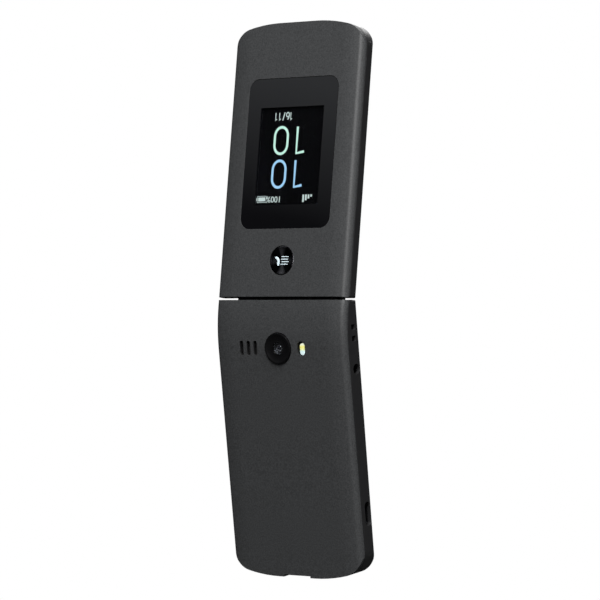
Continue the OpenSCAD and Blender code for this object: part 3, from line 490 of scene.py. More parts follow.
def alone(obj):
    """Only this object selected and active, in object mode."""
    at_rest()
    obj.select_set(True)
    bpy.context.view_layer.objects.active = obj
    return obj


def begin(name, add, **settings):
    """Starts a piece from a primitive and leaves it in edit mode, all selected."""
    at_rest()
    add(**settings)
    obj = bpy.context.object
    obj.name = obj.data.name = name
    bpy.ops.object.mode_set(mode="EDIT")
    return obj


def pick(obj, kind, test):
    """In edit mode, selects the verts, edges or faces that pass the test, and says how many."""
    modes = {"verts": "VERT", "edges": "EDGE", "faces": "FACE"}
    bpy.ops.mesh.select_mode(type=modes[kind])
    bpy.ops.mesh.select_all(action="DESELECT")
    shape = bmesh.from_edit_mesh(obj.data)
    chosen = [item for item in getattr(shape, kind) if test(item)]
    for item in chosen:
        item.select_set(True)
    shape.select_flush_mode()
    bmesh.update_edit_mesh(obj.data)
    return len(chosen)


def middle(edge):
    return (edge.verts[0].co + edge.verts[1].co) / 2


def extruded(x, y, z):
    """Extrudes what is selected in edit mode, by a move in metres."""
    bpy.ops.mesh.extrude_region_move(TRANSFORM_OT_translate={"value": (x, y, z)})


def done(obj, angle=SMOOTH):
    """Leaves edit mode with doubles merged, faces outwards and smooth shading under an angle."""
    bpy.ops.mesh.select_all(action="SELECT")
    bpy.ops.mesh.remove_doubles(threshold=MERGE)
    bpy.ops.mesh.normals_make_consistent(inside=False)
    alone(obj)
    bpy.ops.object.shade_smooth_by_angle(angle=math.radians(angle))
    return obj


def flattened(obj):
    """Large faces keep their own normals, and the small rounds beside them take the bend."""
    alone(obj)
    bpy.ops.object.modifier_add(type="WEIGHTED_NORMAL")
    obj.modifiers[0].keep_sharp = True
    bpy.ops.object.modifier_apply(modifier=obj.modifiers[0].name)
    return obj


def place(obj, space):
    """Moves a finished piece to its space and puts the place into its mesh."""
    alone(obj)
    obj.matrix_world = space @ obj.matrix_world
    bpy.ops.object.transform_apply(location=True, rotation=True, scale=True)
    return obj


def dress(obj, body, look, slot, stands_for=()):
    """Gives a piece its material and body, and hides the nodes that it stands for; the slot is not
    used.
    """
    obj.data.materials.clear()
    obj.data.materials.append(material(look))
    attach(obj, body)
    if stands_for:
        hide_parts(*stands_for)
    return obj


def fitted(obj, space, *finish):
    """Places a piece in its space and dresses it."""
    return dress(place(obj, space), *finish)


def face(space, x, y, z, out, up):
    """A space at a point in mm whose Z looks along out and whose Y looks along up."""
    out, up = Vector(out), Vector(up)
    turn = Matrix((up.cross(out), up, out)).transposed().to_4x4()
    return space @ Matrix.Translation(Vector((x, y, z)) * MM) @ turn


def rear_of_base(x, y, z):
    return face(BASE_SPACE, x, y, z, (0, 1, 0), (0, 0, 1))


def outer_of_lid(x, y, z):
    """On the lid's outer face, upright as read with the phone shut and its hinge up."""
    return face(LID_SPACE, x, y, z, (0, 1, 0), (0, 0, -1))


def keypad_side(x, y, z):
    return face(BASE_SPACE, x, y, z, (0, -1, 0), (0, 0, 1))


def screen_side(x, y, z):
    return face(LID_SPACE, x, y, z, (0, -1, 0), (0, 0, 1))


def turned(name, profile, steps=96):
    """A piece turned about Z from (radius, height) points in mm, extruded and spun as by hand."""
    first = profile[0]
    obj = begin(
        name, bpy.ops.mesh.primitive_plane_add, size=MM,
        location=(first[0] * MM, 0, first[1] * MM),
    )
    bpy.ops.mesh.merge(type="CENTER")
    for (r0, h0), (r1, h1) in zip(profile, profile[1:]):
        extruded((r1 - r0) * MM, 0, (h1 - h0) * MM)
    bpy.ops.mesh.select_all(action="SELECT")
    bpy.ops.mesh.spin(
        steps=steps, angle=2 * math.pi, center=(0, 0, 0), axis=(0, 0, 1), use_auto_merge=True
    )
    bpy.ops.mesh.select_all(action="SELECT")
    bpy.ops.mesh.remove_doubles(threshold=2 * MERGE)
    return done(obj)


def sheet_of(name, width, height, radius, steps):
    """A flat rounded rectangle in edit mode, sizes in mm."""
    obj = begin(name, bpy.ops.mesh.primitive_plane_add, size=MM)
    bpy.ops.transform.resize(value=(width, height, 1))
    if radius:
        bpy.ops.mesh.select_mode(type="VERT")
        bpy.ops.mesh.bevel(
            offset=radius * MM, segments=steps, affect="VERTICES", clamp_overlap=False
        )
    return obj


def plate(name, width, height, radius, thick, edge=0.0, centre=(0, 0, 0)):
    """A rounded plate standing on its centre: a plane with rounded corners, then extruded."""
    obj = sheet_of(name, width, height, radius, 8)
    if radius:
        bpy.ops.mesh.remove_doubles(threshold=MERGE)
    bpy.ops.mesh.select_all(action="SELECT")
    extruded(0, 0, thick * MM)
    if edge:
        upper = 0.6 * thick * MM
        pick(obj, "edges", lambda e: min(v.co.z for v in e.verts) > upper
             and e.calc_face_angle(0) > 1)
        bpy.ops.mesh.bevel(offset=edge * MM, segments=2, affect="EDGES", clamp_overlap=True)
    bpy.ops.mesh.select_all(action="SELECT")
    bpy.ops.transform.translate(value=Vector(centre) * MM)
    return done(obj)


def stroke(name, lines, width, high=0.03):
    """Drawn strokes in mm as one flat relief with round ends; closed lines repeat their start."""
    curve = bpy.data.curves.new(name, "CURVE")
    curve.dimensions = "3D"
    curve.bevel_depth = width / 2 * MM
    curve.bevel_resolution = 2
    curve.use_fill_caps = True
    for points in lines:
        closed = points[0] == points[-1] and len(points) > 2
        points = points[:-1] if closed else points
        spline = curve.splines.new("POLY")
        spline.points.add(len(points) - 1)
        spline.use_cyclic_u = closed
        for spot, (x, y) in zip(spline.points, points):
            spot.co = (x * MM, y * MM, 0, 1)
    obj = bpy.data.objects.new(name, curve)
    bpy.context.scene.collection.objects.link(obj)
    alone(obj)
    bpy.ops.object.convert(target="MESH")
    obj = bpy.context.object
    obj.scale = (1, 1, 2 * high / width)
    bpy.ops.object.transform_apply(location=True, rotation=True, scale=True)
    bpy.ops.object.mode_set(mode="EDIT")
    return done(obj, SMOOTH_STROKE)


def arc(cx, cy, rx, ry, a0, a1, n):
    """Points in mm along an elliptic arc, angles in degrees."""
    steps = [math.radians(a0 + (a1 - a0) * i / n) for i in range(n + 1)]
    return [(cx + rx * math.cos(a), cy + ry * math.sin(a)) for a in steps]


def lettered(name, words, size, high=0.03):
    """Plain figures as flat relief, centred on the origin, size in mm of a capital."""
    size_to_capital = 1.42
    bpy.ops.object.select_all(action="DESELECT")
    bpy.ops.object.text_add()
    obj = bpy.context.object
    obj.name = name
    obj.data.body = words
    obj.data.size = size * MM * size_to_capital
    obj.data.align_x, obj.data.align_y = "CENTER", "CENTER"
    obj.data.extrude = high * MM / 2
    obj.data.resolution_u = 4
    bpy.ops.object.convert(target="MESH")
    obj = bpy.context.object
    obj.name = obj.data.name = name
    bpy.ops.object.mode_set(mode="EDIT")
    return done(obj, SMOOTH_LETTER)


def joined(name, parts):
    """Several meshes of one finish as one piece."""
    bpy.ops.object.select_all(action="DESELECT")
    for part in parts:
        part.select_set(True)
    bpy.context.view_layer.objects.active = parts[0]
    bpy.ops.object.join()
    parts[0].name = parts[0].data.name = name
    return parts[0]


def moulded(source, name, width, sharp=50.0, keep=lambda e: True, segments=2):
    """A merged copy of a CAD node's mesh, its chosen sharp edges broken by a small round."""
    obj = bpy.data.objects.new(name, NODES[source].data.copy())
    obj.data.name = name
    bpy.context.scene.collection.objects.link(obj)
    alone(obj)
    bpy.ops.mesh.customdata_custom_splitnormals_clear()
    bpy.ops.object.mode_set(mode="EDIT")
    bpy.ops.mesh.select_all(action="SELECT")
    bpy.ops.mesh.remove_doubles(threshold=MERGE_CAD)
    bpy.ops.mesh.dissolve_limited(angle_limit=math.radians(FLAT))
    limit, shortest = math.radians(sharp), 1e-5
    if pick(
        obj, "edges",
        lambda e: len(e.link_faces) == 2 and e.calc_face_angle(0) > limit
        and e.calc_length() > shortest and keep(e),
    ):
        bpy.ops.mesh.bevel(
            offset=width * MM, segments=segments, affect="EDGES", clamp_overlap=False
        )
    alone(obj)
    bpy.ops.object.shade_smooth_by_angle(angle=math.radians(SMOOTH_CAD))
    return flattened(obj)


def extent(name, space):
    """The lowest and highest corner of a CAD node in mm, in the given space."""
    back = space.inverted()
    corners = [back @ v.co / MM for v in NODES[name].data.vertices]
    return Vector(map(min, zip(*corners))), Vector(map(max, zip(*corners)))


# ---- user settings ----


def length(name, description, default, low, high):
    """A size that a user may change, given in mm and kept in metres."""
    return FloatProperty(
        name=name, description=description, default=default * MM, min=low * MM,
        max=high * MM, unit="LENGTH", precision=5,
    )


def tint(name, description, code):
    """A colour that a user may change, given as sRGB hex."""
    return FloatVectorProperty(
        name=name, description=description, subtype="COLOR", size=4, default=linear(code),
        min=0, max=1,
    )


RING_LIP = 1.1


class PhoneSizes(bpy.types.PropertyGroup):
    """Sizes that a user may change, in metres."""

    ring_lip: length(
        "Camera ring lip", "Width of the raised lip round the camera", RING_LIP, 0.4, 2)
    button_dish: length("Button dish", "Depth of the dish in the round lid button", 0.18, 0, 0.3)
    edge_break: length(
        "Edge break", "Radius of the small rounds on moulded edges", 0.12, 0.03, 0.2)
    clock_stroke: length(
        "Clock stroke", "Width of the strokes of the clock's figures", 0.95, 0.4, 1.4)
    mark_size: length("Key figure size", "Height of the figures on the number keys", 3.4, 2, 5)


class PhoneLooks(bpy.types.PropertyGroup):
    """Colours that a user may change."""

    cover: tint("Cover", "Painted rear cover and lid", "363738")
    frame: tint("Frame", "Moulded frame of both halves", "232324")
    floor: tint("Floor", "Studio floor and backdrop", "262626")


# ---- stage ----

WHITE = {"Color": (1, 1, 1, 1), "Strength": 1.0}

# Name, place in metres, width, height, watts; each looks at the phone's middle
LAMPS = (
    ("tall strip", (-0.4, 0.78, 0.8), 0.18, 0.8, 12.6),
    ("top box", (-0.5, 0.35, 1.1), 0.45, 0.45, 10.0),
    ("side box", (-1.1, 0.1, 0.5), 0.35, 0.9, 1.2),
    ("low strip", (-0.85, 0.4, 0.2), 0.1, 0.5, 0.4),
    ("front box", (0.5, -1.5, 0.9), 1.2, 1.2, 12.0),
)
LAMP_AIM = Vector((0, 0, 0.1))


class PHONE_OT_stage(bpy.types.Operator):
    """Builds the floor, the studio light and the camera at the photograph's view"""

    bl_idname = "phone.stage"
    bl_label = "Stage"

    def execute(self, context):
        scene = context.scene
        scene.view_settings.view_transform = "Standard"
        self.world(scene)
        self.floor(scene)
        self.camera(scene)
        self.lamps(scene)
        self.gradient_card(scene)
        return {"FINISHED"}

    def world(self, scene):
        """White to the camera, and a faint level grey light to everything else."""
        world = bpy.data.worlds.new("studio")
        scene.world = world
        world.use_nodes = True
        tree = world.node_tree
        tree.nodes.clear()
        ray = node(tree, "ShaderNodeLightPath")
        seen = node(tree, "ShaderNodeBackground", WHITE)
        faint = node(tree, "ShaderNodeBackground", {"Color": linear("e8ebee"), "Strength": 0.03})
        mix = node(
            tree, "ShaderNodeMixShader", Fac=(ray, "Is Camera Ray"),
            i1=(faint, "Background"), i2=(seen, "Background"),
        )
        node(tree, "ShaderNodeOutputWorld", Surface=(mix, "Shader"))

    def floor(self, scene):
        """A plain floor that the camera sees as white."""
        obj = begin("floor", bpy.ops.mesh.primitive_plane_add, size=8)
        bpy.ops.mesh.subdivide(number_cuts=3)
        alone(obj)
        colour = tuple(scene.phone_looks.floor)
        made, tree, shader = finish_of("studio floor paint", colour, 0.9)
        ray = node(tree, "ShaderNodeLightPath")
        white = node(tree, "ShaderNodeEmission", WHITE)
        mix = node(
            tree, "ShaderNodeMixShader", Fac=(ray, "Is Camera Ray"),
            i1=(shader, "BSDF"), i2=(white, "Emission"),
        )
        out = tree.nodes["Material Output"]
        tree.links.new(mix.outputs["Shader"], out.inputs["Surface"])
        obj.data.materials.append(made)

    def lamps(self, scene):
        """Soft boxes and strips that the camera doesn't see."""
        for name, at, wide, high, power in LAMPS:
            lamp = bpy.data.lights.new(name, "AREA")
            lamp.shape, lamp.size, lamp.size_y, lamp.energy = "RECTANGLE", wide, high, power
            obj = bpy.data.objects.new(name, lamp)
            scene.collection.objects.link(obj)
            obj.location = at
            obj.rotation_euler = (LAMP_AIM - Vector(at)).to_track_quat("-Z", "Y").to_euler()
            obj.visible_camera = False

    def gradient_card(self, scene):
        """A card that only shiny faces see: it gives the outer window its fading reflection."""
        lo, hi = extent("outer_window", LID_SPACE)
        glass = LID_SPACE @ (Vector((0, hi.y, (lo.z + hi.z) / 2)) * MM)
        out = LID_SPACE.col[1].to_3d()
        view = (scene.camera.matrix_world.translation - glass).normalized()
        mirrored = 2 * out.dot(view) * out - view
        away, reach = 0.6, 0.15
        # Seen in the window from the camera, the card covers this much at its distance
        grow = (away + CAMERA_AWAY * MM) / (CAMERA_AWAY * MM)
        span = (hi.z - lo.z) * MM * grow
        obj = begin("gradient_card", bpy.ops.mesh.primitive_plane_add, size=reach)
        bpy.ops.mesh.subdivide(number_cuts=2)
        alone(obj)
        obj.matrix_world = (
            Matrix.Translation(glass + mirrored * away)
            @ (-mirrored).to_track_quat("Z", "Y").to_matrix().to_4x4()
        )
        made = bpy.data.materials.new("graded card")
        made.use_nodes = True
        tree = made.node_tree
        tree.nodes.clear()
        split = node(tree, "ShaderNodeSeparateXYZ", Vector=spots(tree))
        fade = node(
            tree, "ShaderNodeMapRange",
            {"From Min": -span * 0.45, "From Max": span * 0.5, "To Min": 0.03, "To Max": 0.6},
            Value=(split, "Y"),
        )
        light = node(
            tree, "ShaderNodeEmission", {"Color": linear("f0f4f8")}, Strength=(fade, "Result")
        )
        node(tree, "ShaderNodeOutputMaterial", Surface=(light, "Emission"))
        obj.data.materials.append(made)
        for unseen in ("camera", "diffuse", "transmission", "shadow"):
            setattr(obj, "visible_" + unseen, False)

    def camera(self, scene):
        """The view that a fit to the screen's corners and the straight casing edges gives."""
        azimuth, rise, roll = (math.radians(a) for a in VIEW_ANGLES)
        tip = LEAN / 2
        slit = HINGE + Vector((0, HALF_T, HALF_T * math.tan(tip))) * MM
        turn = Matrix((
            (-1, 0, 0),
            (0, -math.cos(tip), -math.sin(tip)),
            (0, -math.sin(tip), math.cos(tip)),
        ))
        back = Vector((
            math.sin(azimuth) * math.cos(rise), -math.cos(azimuth) * math.cos(rise),
            math.sin(rise),
        ))
        right = Vector((math.cos(azimuth), math.sin(azimuth), 0))
        up = back.cross(right)
        right_r = math.cos(roll) * right + math.sin(roll) * up
        up_r = -math.sin(roll) * right + math.cos(roll) * up
        data = bpy.data.cameras.new("photo view")
        data.sensor_width = 36
        data.lens = FOCAL_PX * data.sensor_width / FRAME_PX
        data.clip_start, data.clip_end = 0.05, 20
        obj = bpy.data.objects.new("photo view", data)
        scene.collection.objects.link(obj)
        axes = Matrix([turn @ v for v in (right_r, up_r, back)]).transposed()
        seat = slit + turn @ (Vector(CAMERA_AIM) * MM + CAMERA_AWAY * MM * back)
        obj.matrix_world = Matrix.Translation(seat) @ axes.to_4x4()
        scene.camera = obj


# ---- casing ----

# CAD node, name of its finished shell, look
SHELLS = (
    ("rear_cover", "rear_shell", "textured_cover"),
    ("lid_outer_case", "lid_shell", "textured_cover"),
    ("base_front_case", "keypad_housing", "dark_frame"),
    ("lid_inner_case", "screen_housing", "dark_frame"),
)


class PHONE_OT_casing(bpy.types.Operator):
    """Moulds the four casing shells with small edge breaks and their finishes"""

    bl_idname = "phone.casing"
    bl_label = "Casing"

    def execute(self, context):
        size = context.scene.phone_sizes.edge_break / MM
        for source, name, look in SHELLS:
            obj = moulded(source, name, size)
            dress(obj, BODY_OF[source], look, look, (source,))
            if source == "rear_cover":
                self.bare_walls(obj)
        return {"FINISHED"}

    def bare_walls(self, obj):
        """Colours the walls of the speaker slots and the flash slot black: painted shade in these
        recesses.
        """
        obj.data.materials.append(material("bare_black"))
        spans = [extent(name, BASE_SPACE) for name in ("speaker_mesh", "flash_lens")]
        back, round_it = BASE_SPACE.inverted(), 1
        for poly in obj.data.polygons:
            spot = back @ poly.center / MM
            if abs(poly.normal.y) < 0.5 and any(
                lo.x - round_it < spot.x < hi.x + round_it
                and lo.z - round_it < spot.z < hi.z + round_it
                for lo, hi in spans
            ):
                # Painted shade: the slot walls take the black finish
                poly.material_index = 1


# ---- windows and clock ----

# Outer picture: a 1.77 inch panel of 128 x 160, standing a little off the window's middle
PICTURE = (28.03, 35.04, 50.3)
# Heights of the rows on the lid, from the hinge
CLOCK = {"minutes": 56.0, "hours": 43.95, "date": 64.65, "status": 35.0}


def glazing(name, source, place_at, back, thick, picture, radius):
    """A window: a black bordered plate with an opening, and a clear pane flush in it."""
    lo, hi = extent(source, LID_SPACE)
    middle_z = (hi.z + lo.z) / 2
    pic_w, pic_h, pic_z = picture
    up = place_at(0, 0, 0).col[1].to_3d().dot(LID_SPACE.col[2].to_3d())
    border = sheet_of(name + "_border", hi.x - lo.x, hi.z - lo.z, radius, 12)
    half_w, half_h, mid = pic_w / 2 * MM, pic_h / 2 * MM, (pic_z - middle_z) * up * MM
    cuts = (
        ((half_w, 0, 0), (1, 0, 0)), ((-half_w, 0, 0), (1, 0, 0)),
        ((0, mid + half_h, 0), (0, 1, 0)), ((0, mid - half_h, 0), (0, 1, 0)),
    )
    for co, no in cuts:
        bpy.ops.mesh.select_all(action="SELECT")
        bpy.ops.mesh.bisect(plane_co=co, plane_no=no)
    pick(border, "faces", lambda f: abs(f.calc_center_median().x) < half_w
         and abs(f.calc_center_median().y - mid) < half_h)
    bpy.ops.mesh.delete(type="FACE")
    bpy.ops.mesh.select_all(action="SELECT")
    extruded(0, 0, thick * MM)
    rim = 0.1 * MM
    pick(border, "edges", lambda e: e.calc_face_angle(0) > 1
         and min(v.co.z for v in e.verts) > thick * MM - 1e-6
         and (abs(middle(e).x) > half_w + rim or abs(middle(e).y - mid) > half_h + rim))
    bpy.ops.mesh.bevel(offset=rim, segments=2, affect="EDGES")
    flattened(done(border))
    fitted(border, place_at(0, back, middle_z), "lid", "border_black", "window_black", (source,))
    gap, below = 0.02, 0.004
    pane = plate(name + "_pane", pic_w - gap, pic_h - gap, 0, thick - below)
    fitted(pane, place_at(0, back, pic_z), "lid", "window_glass", "window_black")
    pane.visible_shadow = False


class PHONE_OT_windows(bpy.types.Operator):
    """Builds the outer and inner windows and the pictures that shine through them"""

    bl_idname = "phone.windows"
    bl_label = "Windows"

    def execute(self, context):
        lift, thick = 0.01, 0.03
        lo, hi = extent("outer_window", LID_SPACE)
        wide, high, z = PICTURE
        glazing("outer", "outer_window", outer_of_lid, lo.y, hi.y - lo.y, PICTURE, 4.0)
        _, top = extent("outer_display", LID_SPACE)
        sheet = plate("outer_picture", wide, high, 0, thick)
        fitted(sheet, outer_of_lid(0, top.y + lift, z), "lid", "lit_panel", "display")

        lo, hi = extent("inner_window", LID_SPACE)
        face_lo, face_hi = extent("main_display", LID_SPACE)
        wide, high = face_hi.x - face_lo.x - 3.2, face_hi.z - face_lo.z - 7.2
        z = (face_lo.z + face_hi.z) / 2 - 0.5
        glazing("inner", "inner_window", screen_side, hi.y, hi.y - lo.y, (wide, high, z), 3.0)
        sheet = plate("inner_picture", wide, high, 0, thick)
        fitted(sheet, screen_side(0, face_lo.y - lift, z), "lid", "wallpaper", "display")
        self.home_screen(wide, high, z, face_lo.y - 0.05)
        return {"FINISHED"}

    def home_screen(self, wide, high, z, y):
        """Figures of a clock, signal and battery marks, and key hints."""
        tall = 9.5
        lines = one(-10.3, 0, 2.4, tall) + zero(-5.2, 0, 6.2, tall)
        lines += one(7.4, 0, 2.4, tall) + zero(12.5, 0, 6.2, tall)
        dots = [plate("dot", 1.0, 1.0, 0.45, 0.05, centre=(0, d, -0.02)) for d in (-1.8, 1.8)]
        edge, dash = wide / 2 - 4, 5
        hints = [
            [(-edge, 0), (dash - edge, 0)], [(edge - dash, 0), (edge, 0)],
            [(-1.6, -1), (0, 0.6), (1.6, -1)],
        ]
        rows = (
            (joined("home_clock", [stroke("home_clock", lines, 0.9), *dots]), 12),
            (joined("home_status", [battery_mark(), signal_mark()]), high / 2 - 3),
            (stroke("home_hints", hints, 0.6), 3 - high / 2),
        )
        for obj, up in rows:
            fitted(obj, screen_side(0, y, z + up), "lid", "white_marks", "display")


def zero(cx, cy, w, h):
    """Strokes of a nought: two round ends joined by straight sides."""
    rx, ry = w / 2, w * 0.56
    top = arc(cx, cy + h / 2 - ry, rx, ry, 0, 180, 14)
    foot = arc(cx, cy - h / 2 + ry, rx, ry, 180, 360, 14)
    return [top + foot + top[:1]]


def one(cx, cy, w, h):
    """Strokes of a one: its stem and a flag that falls a little to the left."""
    return [[(cx - w, cy + h / 2 - 0.55), (cx, cy + h / 2), (cx, cy - h / 2)]]


def six(cx, cy, w, h):
    """Strokes of a six: its bowl and the back that rises from it."""
    rx, ry = w / 2, h * 0.29
    low = cy - h / 2 + ry
    back = arc(cx + rx, low, w, h - ry, 180, 118, 8)
    return [arc(cx, low, rx, ry, 0, 360, 16), back]


def outlined(left, low, right, high):
    """A closed box of strokes."""
    return [(left, low), (right, low), (right, high), (left, high), (left, low)]


def battery_mark():
    """A cell's outline, its charge and its cap."""
    shell = stroke("battery_shell", [outlined(9.7, -1.1, 13.6, 1.1)], 0.24)
    fill = plate("battery_fill", 3.1, 1.4, 0.2, 0.05, centre=(11.65, 0, -0.02))
    cap = plate("battery_cap", 0.5, 1.0, 0.15, 0.05, centre=(14.0, 0, -0.02))
    return joined("battery_mark", [shell, fill, cap])


def signal_mark():
    """Four bars that rise to the right."""
    bars = []
    for i in range(4):
        high = 0.8 + 0.62 * i
        at = (-10.3 + i * 1.15, -1.35 + high / 2, -0.02)
        bars.append(plate("signal_bar", 0.72, high, 0.12, 0.05, centre=at))
    return joined("signal_mark", bars)


class PHONE_OT_clock(bpy.types.Operator):
    """Draws the lit clock, date figures, battery and signal marks on the outer screen"""

    bl_idname = "phone.clock"
    bl_label = "Outer clock"

    def execute(self, context):
        pen = context.scene.phone_sizes.clock_stroke / MM
        y = extent("outer_display", LID_SPACE)[1].y + 0.07
        big, small = 10.5 - pen, 2.7
        for name, look in (("minutes", "mint_digits"), ("hours", "blue_digits")):
            obj = stroke(
                "clock_" + name, zero(4.8, 0, 6.7 - pen, big) + one(-2.3, 0, 3.4, big), pen
            )
            fitted(obj, outer_of_lid(0, y, CLOCK[name]), "lid", look, "display")
        slash = small / 2 + 0.1
        lines = [[(-0.42, -slash), (0.42, slash)]] + six(-1.75, 0, 1.3, small)
        for x in (-3.05, 1.95, 3.65):
            lines += one(x, 0, 0.55, small)
        date = stroke("clock_date", lines, 0.42, 0.05)
        fitted(date, outer_of_lid(4.3, y, CLOCK["date"]), "lid", "white_marks", "display")
        percent = lettered("clock_charge", "100%", 2.2, 0.06)
        fitted(percent, outer_of_lid(6.35, y, CLOCK["status"]), "lid", "white_marks", "display")
        marks = joined("clock_status", [battery_mark(), signal_mark()])
        fitted(marks, outer_of_lid(0, y, CLOCK["status"]), "lid", "white_marks", "display")
        return {"FINISHED"}


# ---- round lid button ----


def polar_map(obj, centre, across, along):
    """A UV map whose first axis runs round the centre and whose second is the radius in mm."""
    mesh = obj.data
    layer = mesh.uv_layers.new(name="around")
    for poly in mesh.polygons:
        angles = []
        for i in poly.loop_indices:
            d = mesh.vertices[mesh.loops[i].vertex_index].co - centre
            angles.append((i, math.atan2(d.dot(along), d.dot(across)), d.length / MM))
        first = angles[0][1]
        for i, a, r in angles:
            # A face across the seam counts on past it
            while a - first > math.pi:
                a -= 2 * math.pi
            while a - first < -math.pi:
                a += 2 * math.pi
            layer.data[i].uv = (a / (2 * math.pi), r)


class PHONE_OT_lid_button(bpy.types.Operator):
    """Turns the round metal button of the lid and fills its call-list mark"""

    bl_idname = "phone.lid_button"
    bl_label = "Round button"

    def execute(self, context):
        dish = context.scene.phone_sizes.button_dish / MM
        lo, hi = extent("lid_button", LID_SPACE)
        flange, z = (hi.x - lo.x) / 2, (lo.z + hi.z) / 2
        r, stem = flange - 0.8, 1.2
        under, low = -1.2, -1.8
        rim, lip = 0.5, 0.12
        inner = r - rim - lip
        profile = [(0, low - 0.4), (stem, low - 0.4), (stem, low), (flange, low),
                   (flange, under), (r, under), (r, -0.2), (r - 0.05, -0.07), (r - 0.16, 0.0),
                   (r - rim, 0.0), (r - rim - 0.1, -0.03), (inner, -lip)]
        rings = 12
        for i in range(1, rings):
            at = inner * (1 - i / rings)
            profile.append((at, -lip - dish * (1 - (at / r) ** 2)))
        profile.append((0, -lip - dish))
        space = outer_of_lid(0, hi.y, z)
        disc = place(turned("round_button", profile), space)
        polar_map(disc, space.translation, space.col[0].to_3d(), space.col[1].to_3d())
        dress(disc, "lid_button", "spun_black", "spun_black_metal", ("lid_button",))
        ends = ((0.5, -2.7), (0.2, -3.0), (0.5, -2.6), (0.3, -2.9))
        lines = [[(near, 1.35 - 0.9 * i), (far, 1.35 - 0.9 * i)]
                 for i, (near, far) in enumerate(ends)]
        rows = stroke("list_lines", lines, 0.3, 0.05)
        mark = joined("button_mark", [rows, handset(2.52, -0.35, 1.12, 142)])
        fitted(mark, outer_of_lid(0, hi.y - lip - dish * 0.85, z), "lid_button", "button_print",
               "spun_black_metal")
        return {"FINISHED"}


def handset(x, y, size, tilt, high=0.05):
    """A receiver drawn as a bowed grip with two fat ends, its back turned to the tilt angle."""
    cos, sin = math.cos(math.radians(tilt)), math.sin(math.radians(tilt))

    def tilted(points):
        return [(x + size * (px * cos - py * sin), y + size * (px * sin + py * cos))
                for px, py in points]

    grip = stroke("grip", [tilted(arc(0, -1.7, 1.75, 2.2, 30, 150, 12))], 0.9 * size, high)
    ends = [tilted([(side * 1.3, -0.85), (side * 1.6, -0.4)]) for side in (1, -1)]
    return joined("handset", [grip, stroke("ends", ends, 1.3 * size, high)])


# ---- camera, flash and sockets ----


class PHONE_OT_camera(bpy.types.Operator):
    """Turns the camera ring and lens stack, and shapes the flash lens"""

    bl_idname = "phone.camera"
    bl_label = "Camera and flash"

    def execute(self, context):
        lip = context.scene.phone_sizes.ring_lip / MM / RING_LIP
        lo, hi = extent("camera_ring", BASE_SPACE)
        glass_lo, glass_hi = extent("camera_lens", BASE_SPACE)
        r, z = (hi.x - lo.x) / 2, (lo.z + hi.z) / 2
        glass_r = (glass_hi.x - glass_lo.x) / 2
        foot, bore, deep = lo.y - hi.y, 3.1, glass_hi.y - hi.y - 0.4
        seat = glass_r + 0.02
        profile = [(bore, foot), (r, foot), (r, -0.22), (r - 0.07, -0.06),
                   (r - 0.22, 0.0), (r - 0.45, 0.0), (r - 0.55, -0.03)]
        # The dish falls in an even curve from the lip to the lens
        steps, outer, inner = 10, r - 0.55, seat + 0.35
        for i in range(1, steps + 1):
            t = i / steps
            profile.append((outer - (outer - inner) * t, -0.03 - 0.62 * (1 - (1 - t) ** 2) * lip))
        profile += [(seat + 0.3, -0.62), (seat + 0.05, -0.55), (seat, -0.62), (seat, deep),
                    (bore, deep), (bore, foot)]
        ring = turned("camera_bezel", profile, steps=128)
        fitted(ring, rear_of_base(0, hi.y, z), "base", "gloss_black", "gloss_black",
               ("camera_ring",))
        # The lens pane, then stepped barrel rings and a domed front element under it
        half = 0.05
        pane = turned("camera_glass", [(0, -half), (glass_r, -half), (glass_r, 0.0),
                                       (glass_r - 0.08, half), (0, half)])
        fitted(pane, rear_of_base(0, glass_hi.y - half, z), "base", "clear_lens", "lens_glass",
               ("camera_lens",))
        pane.visible_shadow = False
        wall = glass_r - 0.02
        barrel = turned("camera_barrel", [
            (wall, -0.1), (glass_r - 0.3, -0.1), (glass_r - 0.5, -0.4), (1.35, -0.4),
            (1.3, -0.25), (1.12, -0.25), (1.0, -0.5), (1.0, -0.55), (wall, -0.55),
            (wall, -0.1)])
        fitted(barrel, rear_of_base(0, glass_hi.y, z), "base", "barrel_grey", "lens_glass")
        angles = [math.radians(9 * i) for i in range(11)]
        dome = [(0.98 * math.sin(a), -0.87 + 0.75 * math.cos(a)) for a in angles]
        front = turned("camera_front_element", [(0, dome[0][1]), *dome[1:], (0, dome[-1][1])])
        fitted(front, rear_of_base(0, glass_hi.y, z), "base", "lens_glass", "lens_glass")
        self.flash()
        return {"FINISHED"}

    def flash(self):
        """A black holder sunk in the slot, and the resin, with its painted glow, that stands out of
        its lower part.
        """
        lo, hi = extent("flash_lens", BASE_SPACE)
        x, wide, sunk = (lo.x + hi.x) / 2, hi.x - lo.x, 0.4
        holder = plate("flash_holder", wide, hi.z - lo.z, wide / 2, hi.y - lo.y - sunk)
        fitted(holder, rear_of_base(x, lo.y, (lo.z + hi.z) / 2), "base", "bare_black",
               "flash_lens", ("flash_lens",))
        lens_w, lens_h, rooted, rise = 2.1, 4.25, 0.3, 0.6
        root = hi.y - sunk - rooted
        lens = plate("flash_resin", lens_w, lens_h, lens_w / 2, hi.y + rise - root, edge=0.2)
        fitted(lens, rear_of_base(x - 0.2, root, lo.z + 0.05 + lens_h / 2), "base",
               "flash_resin", "flash_lens")


